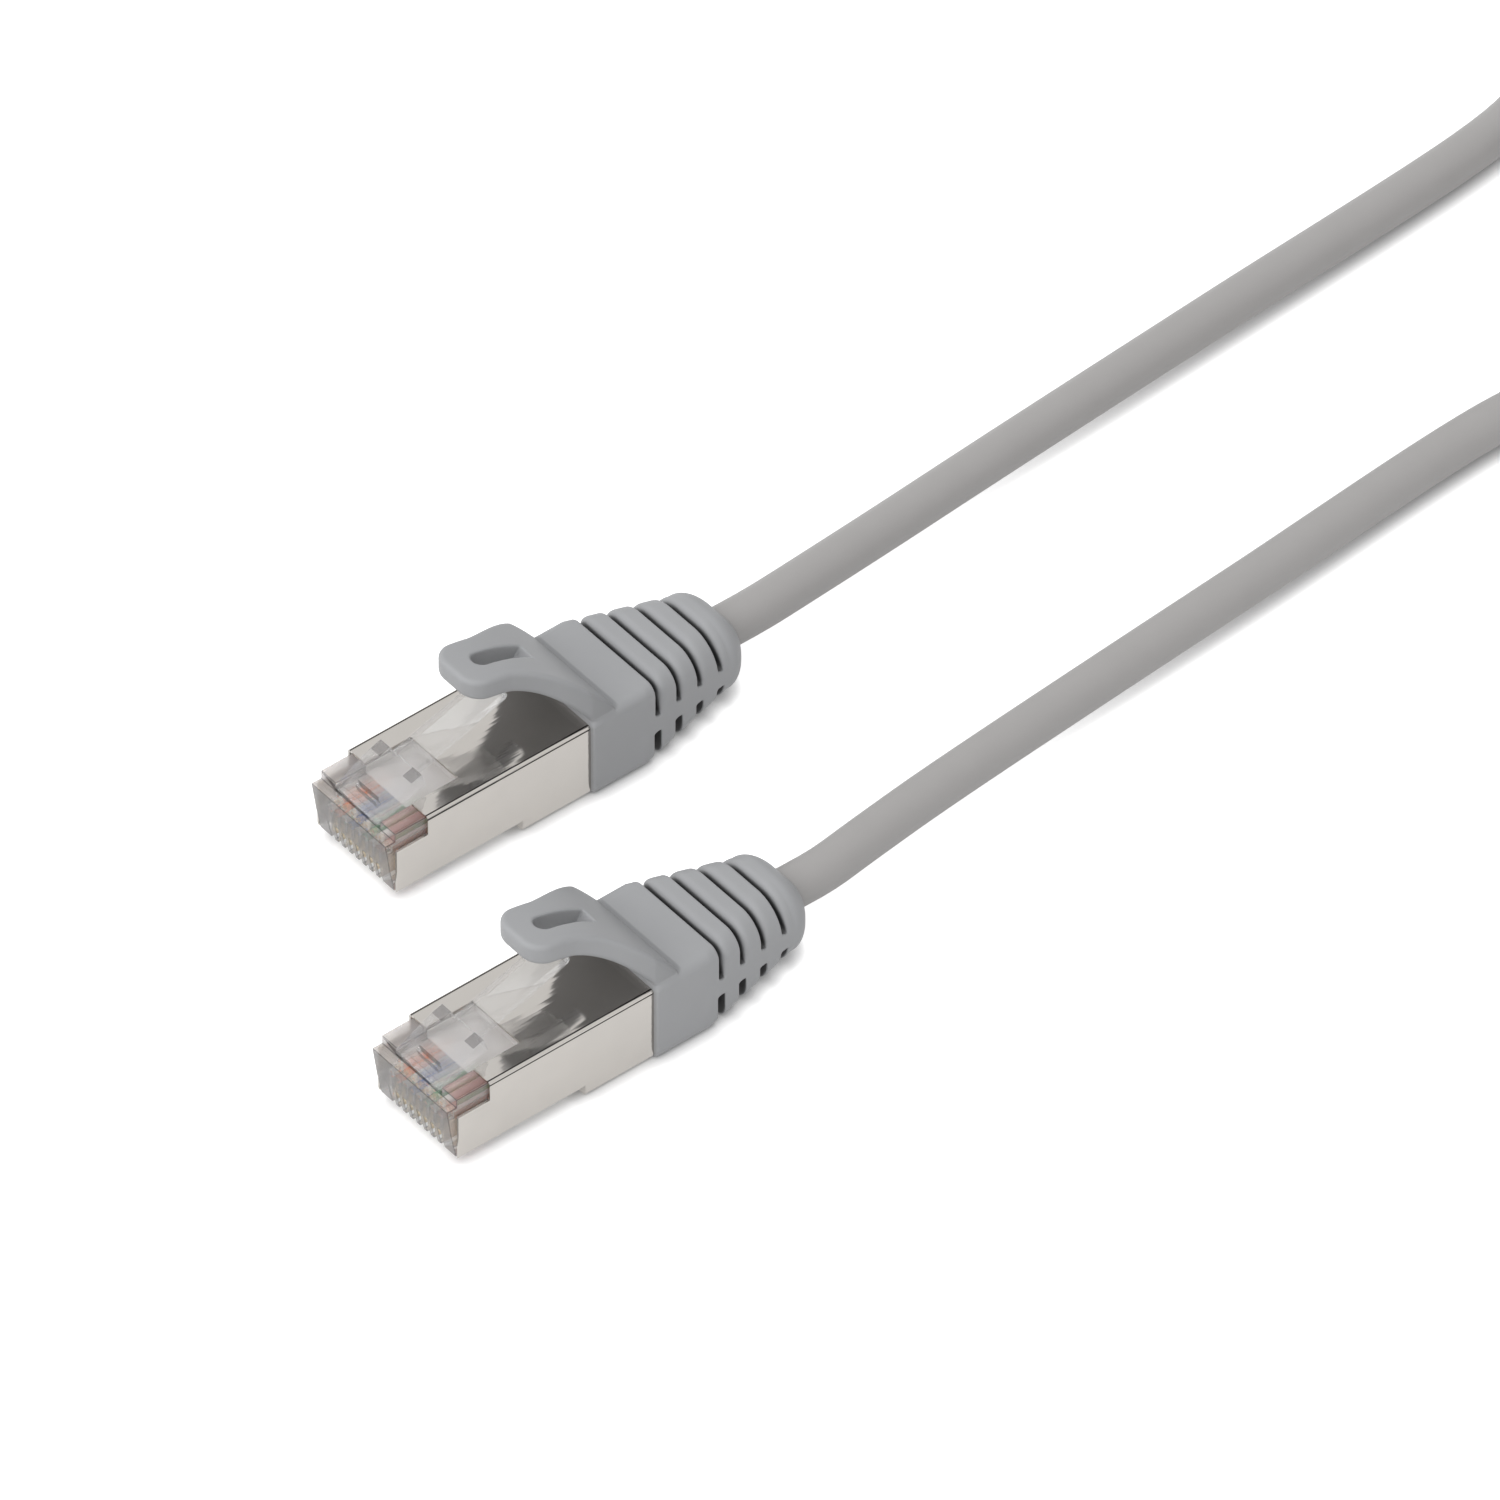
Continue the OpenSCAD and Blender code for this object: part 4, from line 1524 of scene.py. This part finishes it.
@dataclass
class PatchCable:
    """The free cable from boot to boot, with its spare length in a flat coil."""

    diameter: float = 4.4
    step: float = 1.6
    run_a: tuple[Point, ...] = (
        (-15.45, 30.9, 4.6), (-15.45, 35.5, 4.6), (-15.9, 42, 4.5), (-16.8, 52, 4.2),
        (-18.3, 68, 3.8), (-20.7, 95, 3.1), (-23.5, 128, 2.3), (-26.4, 140, 2.2),
        (-30.2, 150, 2.2), (-32.4, 159, 2.2), (-32.6, 166, 2.2),
    )
    run_b: tuple[Point, ...] = (
        (15.45, 13.5, 4.6), (15.45, 18, 4.6), (14.65, 24, 4.5), (13.5, 33, 4.3),
        (11.95, 48, 3.9), (9.55, 73, 3.2), (6.6, 106, 2.4), (9, 121, 2.5),
        (14.4, 136, 4.3), (19.7, 150, 6.6), (21.6, 159, 7.1), (21.6, 166, 7.1),
    )
    coil_centre: Pair = (-5.5, 171.0)
    coil_r: float = 27.1
    coil_pitch: float = 5.0
    coil_turns: float = 4.5
    coil_layer: float = 4.9
    coil_floor: float = 2.2
    coil_rings: int = 72
    coil_climb: float = 0.5
    roundness: int = 8

    def run(self, points: Sequence[Point]) -> list[Array]:
        """Follows one run in even steps.

        Args:
            points: The points that it passes.

        Returns:
            Its steps.
        """
        p = [np.array(q, float) for q in points]
        line: list[Array] = []
        for i in range(len(p) - 1):
            steps = max(2, round(float(np.linalg.norm(p[i + 1] - p[i])) / self.step))
            line += [through(p, i, k / steps) for k in range(steps)]
        return line + [p[-1]]

    def coil(self) -> list[Array]:
        """Winds the coil in on the lower layer and out again on the upper one.

        Returns:
            Its steps.
        """
        line, middle = [], self.coil_turns / 2
        for n in range(round(self.coil_turns * self.coil_rings) + 1):
            turn = n / self.coil_rings
            r = self.coil_r - self.coil_pitch * (middle - abs(turn - middle))
            c = min(1.0, max(0.0, (turn - middle) / self.coil_climb + 0.5))
            z = self.coil_floor + self.coil_layer * c * c * (3 - 2 * c)
            a, (x, y) = turn * 2 * math.pi, self.coil_centre
            line.append(np.array([x - r * math.cos(a), y + r * math.sin(a), z]))
        return line

    def route(self) -> Array:
        """The whole line from boot a to boot b, in metres."""
        return np.array(self.run(self.run_a) + self.coil() + self.run(self.run_b)[::-1]) * MM

    def build(self, finishes: Finishes) -> Piece:
        """Args:
            finishes: The materials.

        Returns:
            The cable, as a curve.
        """
        line = self.route()
        data = bpy.data.curves.new("patch_cable", "CURVE")
        data.dimensions = "3D"
        data.bevel_depth = self.diameter / 2 * MM
        data.bevel_resolution = self.roundness
        spline = data.splines.new("POLY")
        spline.points.add(len(line) - 1)
        for point, place in zip(spline.points, line):
            point.co = (*place, 1.0)
        data.materials.append(finishes[Finish.JACKET])
        cable = new_object("patch_cable", data)
        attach(cable, ROOT)
        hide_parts("cord_run_a", "coil", "cord_run_b")
        return cable


# --------------------------------------------------------------------- studio


@dataclass
class Studio:
    """Camera, pale floor and soft light."""

    azimuth: float = 51.0
    elevation: float = 44.0
    distance: float = 3.0
    frame_width: float = 0.1395
    target: Point = (-0.00479, 0.02568, 0.0)
    sensor: float = 36.0
    clip: Pair = (0.1, 20.0)
    sky: float = 0.72
    sky_lean: Pair = (0.12, -0.5)
    key: float = 1.2
    key_way: Point = (0.12, 0.6, -1.0)
    key_spread: float = 70.0
    floor_half: float = 6.0
    floor_z: float = -0.02 * MM
    paper: float = 0.71
    paper_lift: float = 0.75
    mirrored_lift: float = 0.4
    contact_reach: float = 0.0018
    contact_depth: float = 2.1
    contact_samples: int = 8

    def build(self) -> None:
        """Makes the studio."""
        self.camera()
        self.world()
        self.lamp()
        self.floor()
        bpy.context.scene.view_settings.view_transform = "Standard"

    def camera(self) -> None:
        """A long lens at the viewing angle."""
        a, e = math.radians(self.azimuth), math.radians(self.elevation)
        back = Vector((math.sin(a) * math.cos(e), -math.cos(a) * math.cos(e), math.sin(e)))
        data = bpy.data.cameras.new("camera")
        data.sensor_width = self.sensor
        data.lens = self.sensor * self.distance / self.frame_width
        data.clip_start, data.clip_end = self.clip
        camera = new_object("camera", data)
        camera.location = Vector(self.target) + back * self.distance
        camera.rotation_mode = "QUATERNION"
        camera.rotation_quaternion = (-back).to_track_quat("-Z", "Y")
        bpy.context.scene.camera = camera

    def world(self) -> None:
        """Even light, with white for what is seen directly, in gloss or through plastic."""
        world = bpy.data.worlds.new("studio")
        world.use_nodes = True
        bpy.context.scene.world = world
        g = Graph(world.node_tree)
        way = g.node("SeparateXYZ", None, {"Vector": g.node("TexCoord").outputs["Generated"]})
        lean_x, lean_y = self.sky_lean
        level = (g.value(way, "X") * lean_x + g.value(way, "Y") * lean_y + 1.0) * self.sky
        light, white = [
            g.node("Background", None, {"Color": (1, 1, 1, 1), "Strength": strength}).outputs[0]
            for strength in (level, 1.0)
        ]
        mix = g.node("MixShader", None, {0: g.seen(), 1: light, 2: white})
        g.node("OutputWorld", None, {"Surface": mix.outputs[0]})

    def lamp(self) -> None:
        """One broad soft light from above, a little from the noses' side."""
        data = bpy.data.lights.new("key", "SUN")
        data.energy = self.key
        data.angle = math.radians(self.key_spread)
        lamp = new_object("key", data)
        lamp.visible_glossy = False
        lamp.rotation_mode = "QUATERNION"
        lamp.rotation_quaternion = Vector(self.key_way).to_track_quat("-Z", "Y")

    def floor(self) -> None:
        """A white floor that keeps the lead's soft shadow."""
        mesh = bpy.data.meshes.new("floor")
        half, z = self.floor_half, self.floor_z
        corners = [(-half, -half, z), (half, -half, z), (half, half, z), (-half, half, z)]
        mesh.from_pydata(corners, [], [(0, 1, 2, 3)])
        s = Shader("floor_paper")
        paper = s.node("BsdfDiffuse", None, {"Color": (self.paper, self.paper, self.paper, 1)})
        reach = {"Distance": self.contact_reach}
        nearby = s.node("AmbientOcclusion", {"samples": self.contact_samples}, reach)
        open_share = s.value(nearby, "AO") ** self.contact_depth
        direct = s.ray("Camera")
        strength = direct * open_share * self.paper_lift + (s.seen() - direct) * self.mirrored_lift
        lift = s.node("Emission", None, {"Color": (1, 1, 1, 1), "Strength": strength})
        both = s.node("AddShader", None, {0: paper.outputs[0], 1: lift.outputs[0]})
        mesh.materials.append(s.output(both.outputs[0]))
        floor = new_object("floor", mesh)


# ----------------------------------------------------------------------- main


def main() -> None:
    """Builds the dressed lead piece by piece."""
    logging.basicConfig(level=logging.INFO, format="%(message)s")
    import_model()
    Studio().build()
    finishes = Finishes()
    cable = PatchCable().build(finishes)
    LOG.info("%s: declared", cable.name)
    boot = GuardedBoot()
    points, quads = boot.mesh()
    # Painted shade for the boot's slots, its crease and the tongue ahead of it.
    painted_shade = boot.painted_shade(points)
    LOG.info("moulding: %d vertices, %d quads", len(points), len(quads))
    row, fan = BladeRow(), WireFan()
    for end in End:
        plug = PlugEnd(end, finishes)
        for piece in (plug.moulding(points, quads, painted_shade), plug.shield(), plug.clear_body(),
                      plug.clear_latch(), plug.contacts(row), *plug.wires(fan)):
            LOG.info("%s: %d faces", piece.name, len(piece.data.polygons))
        plug.dress_inside()


if __name__ == "__main__":
    main()
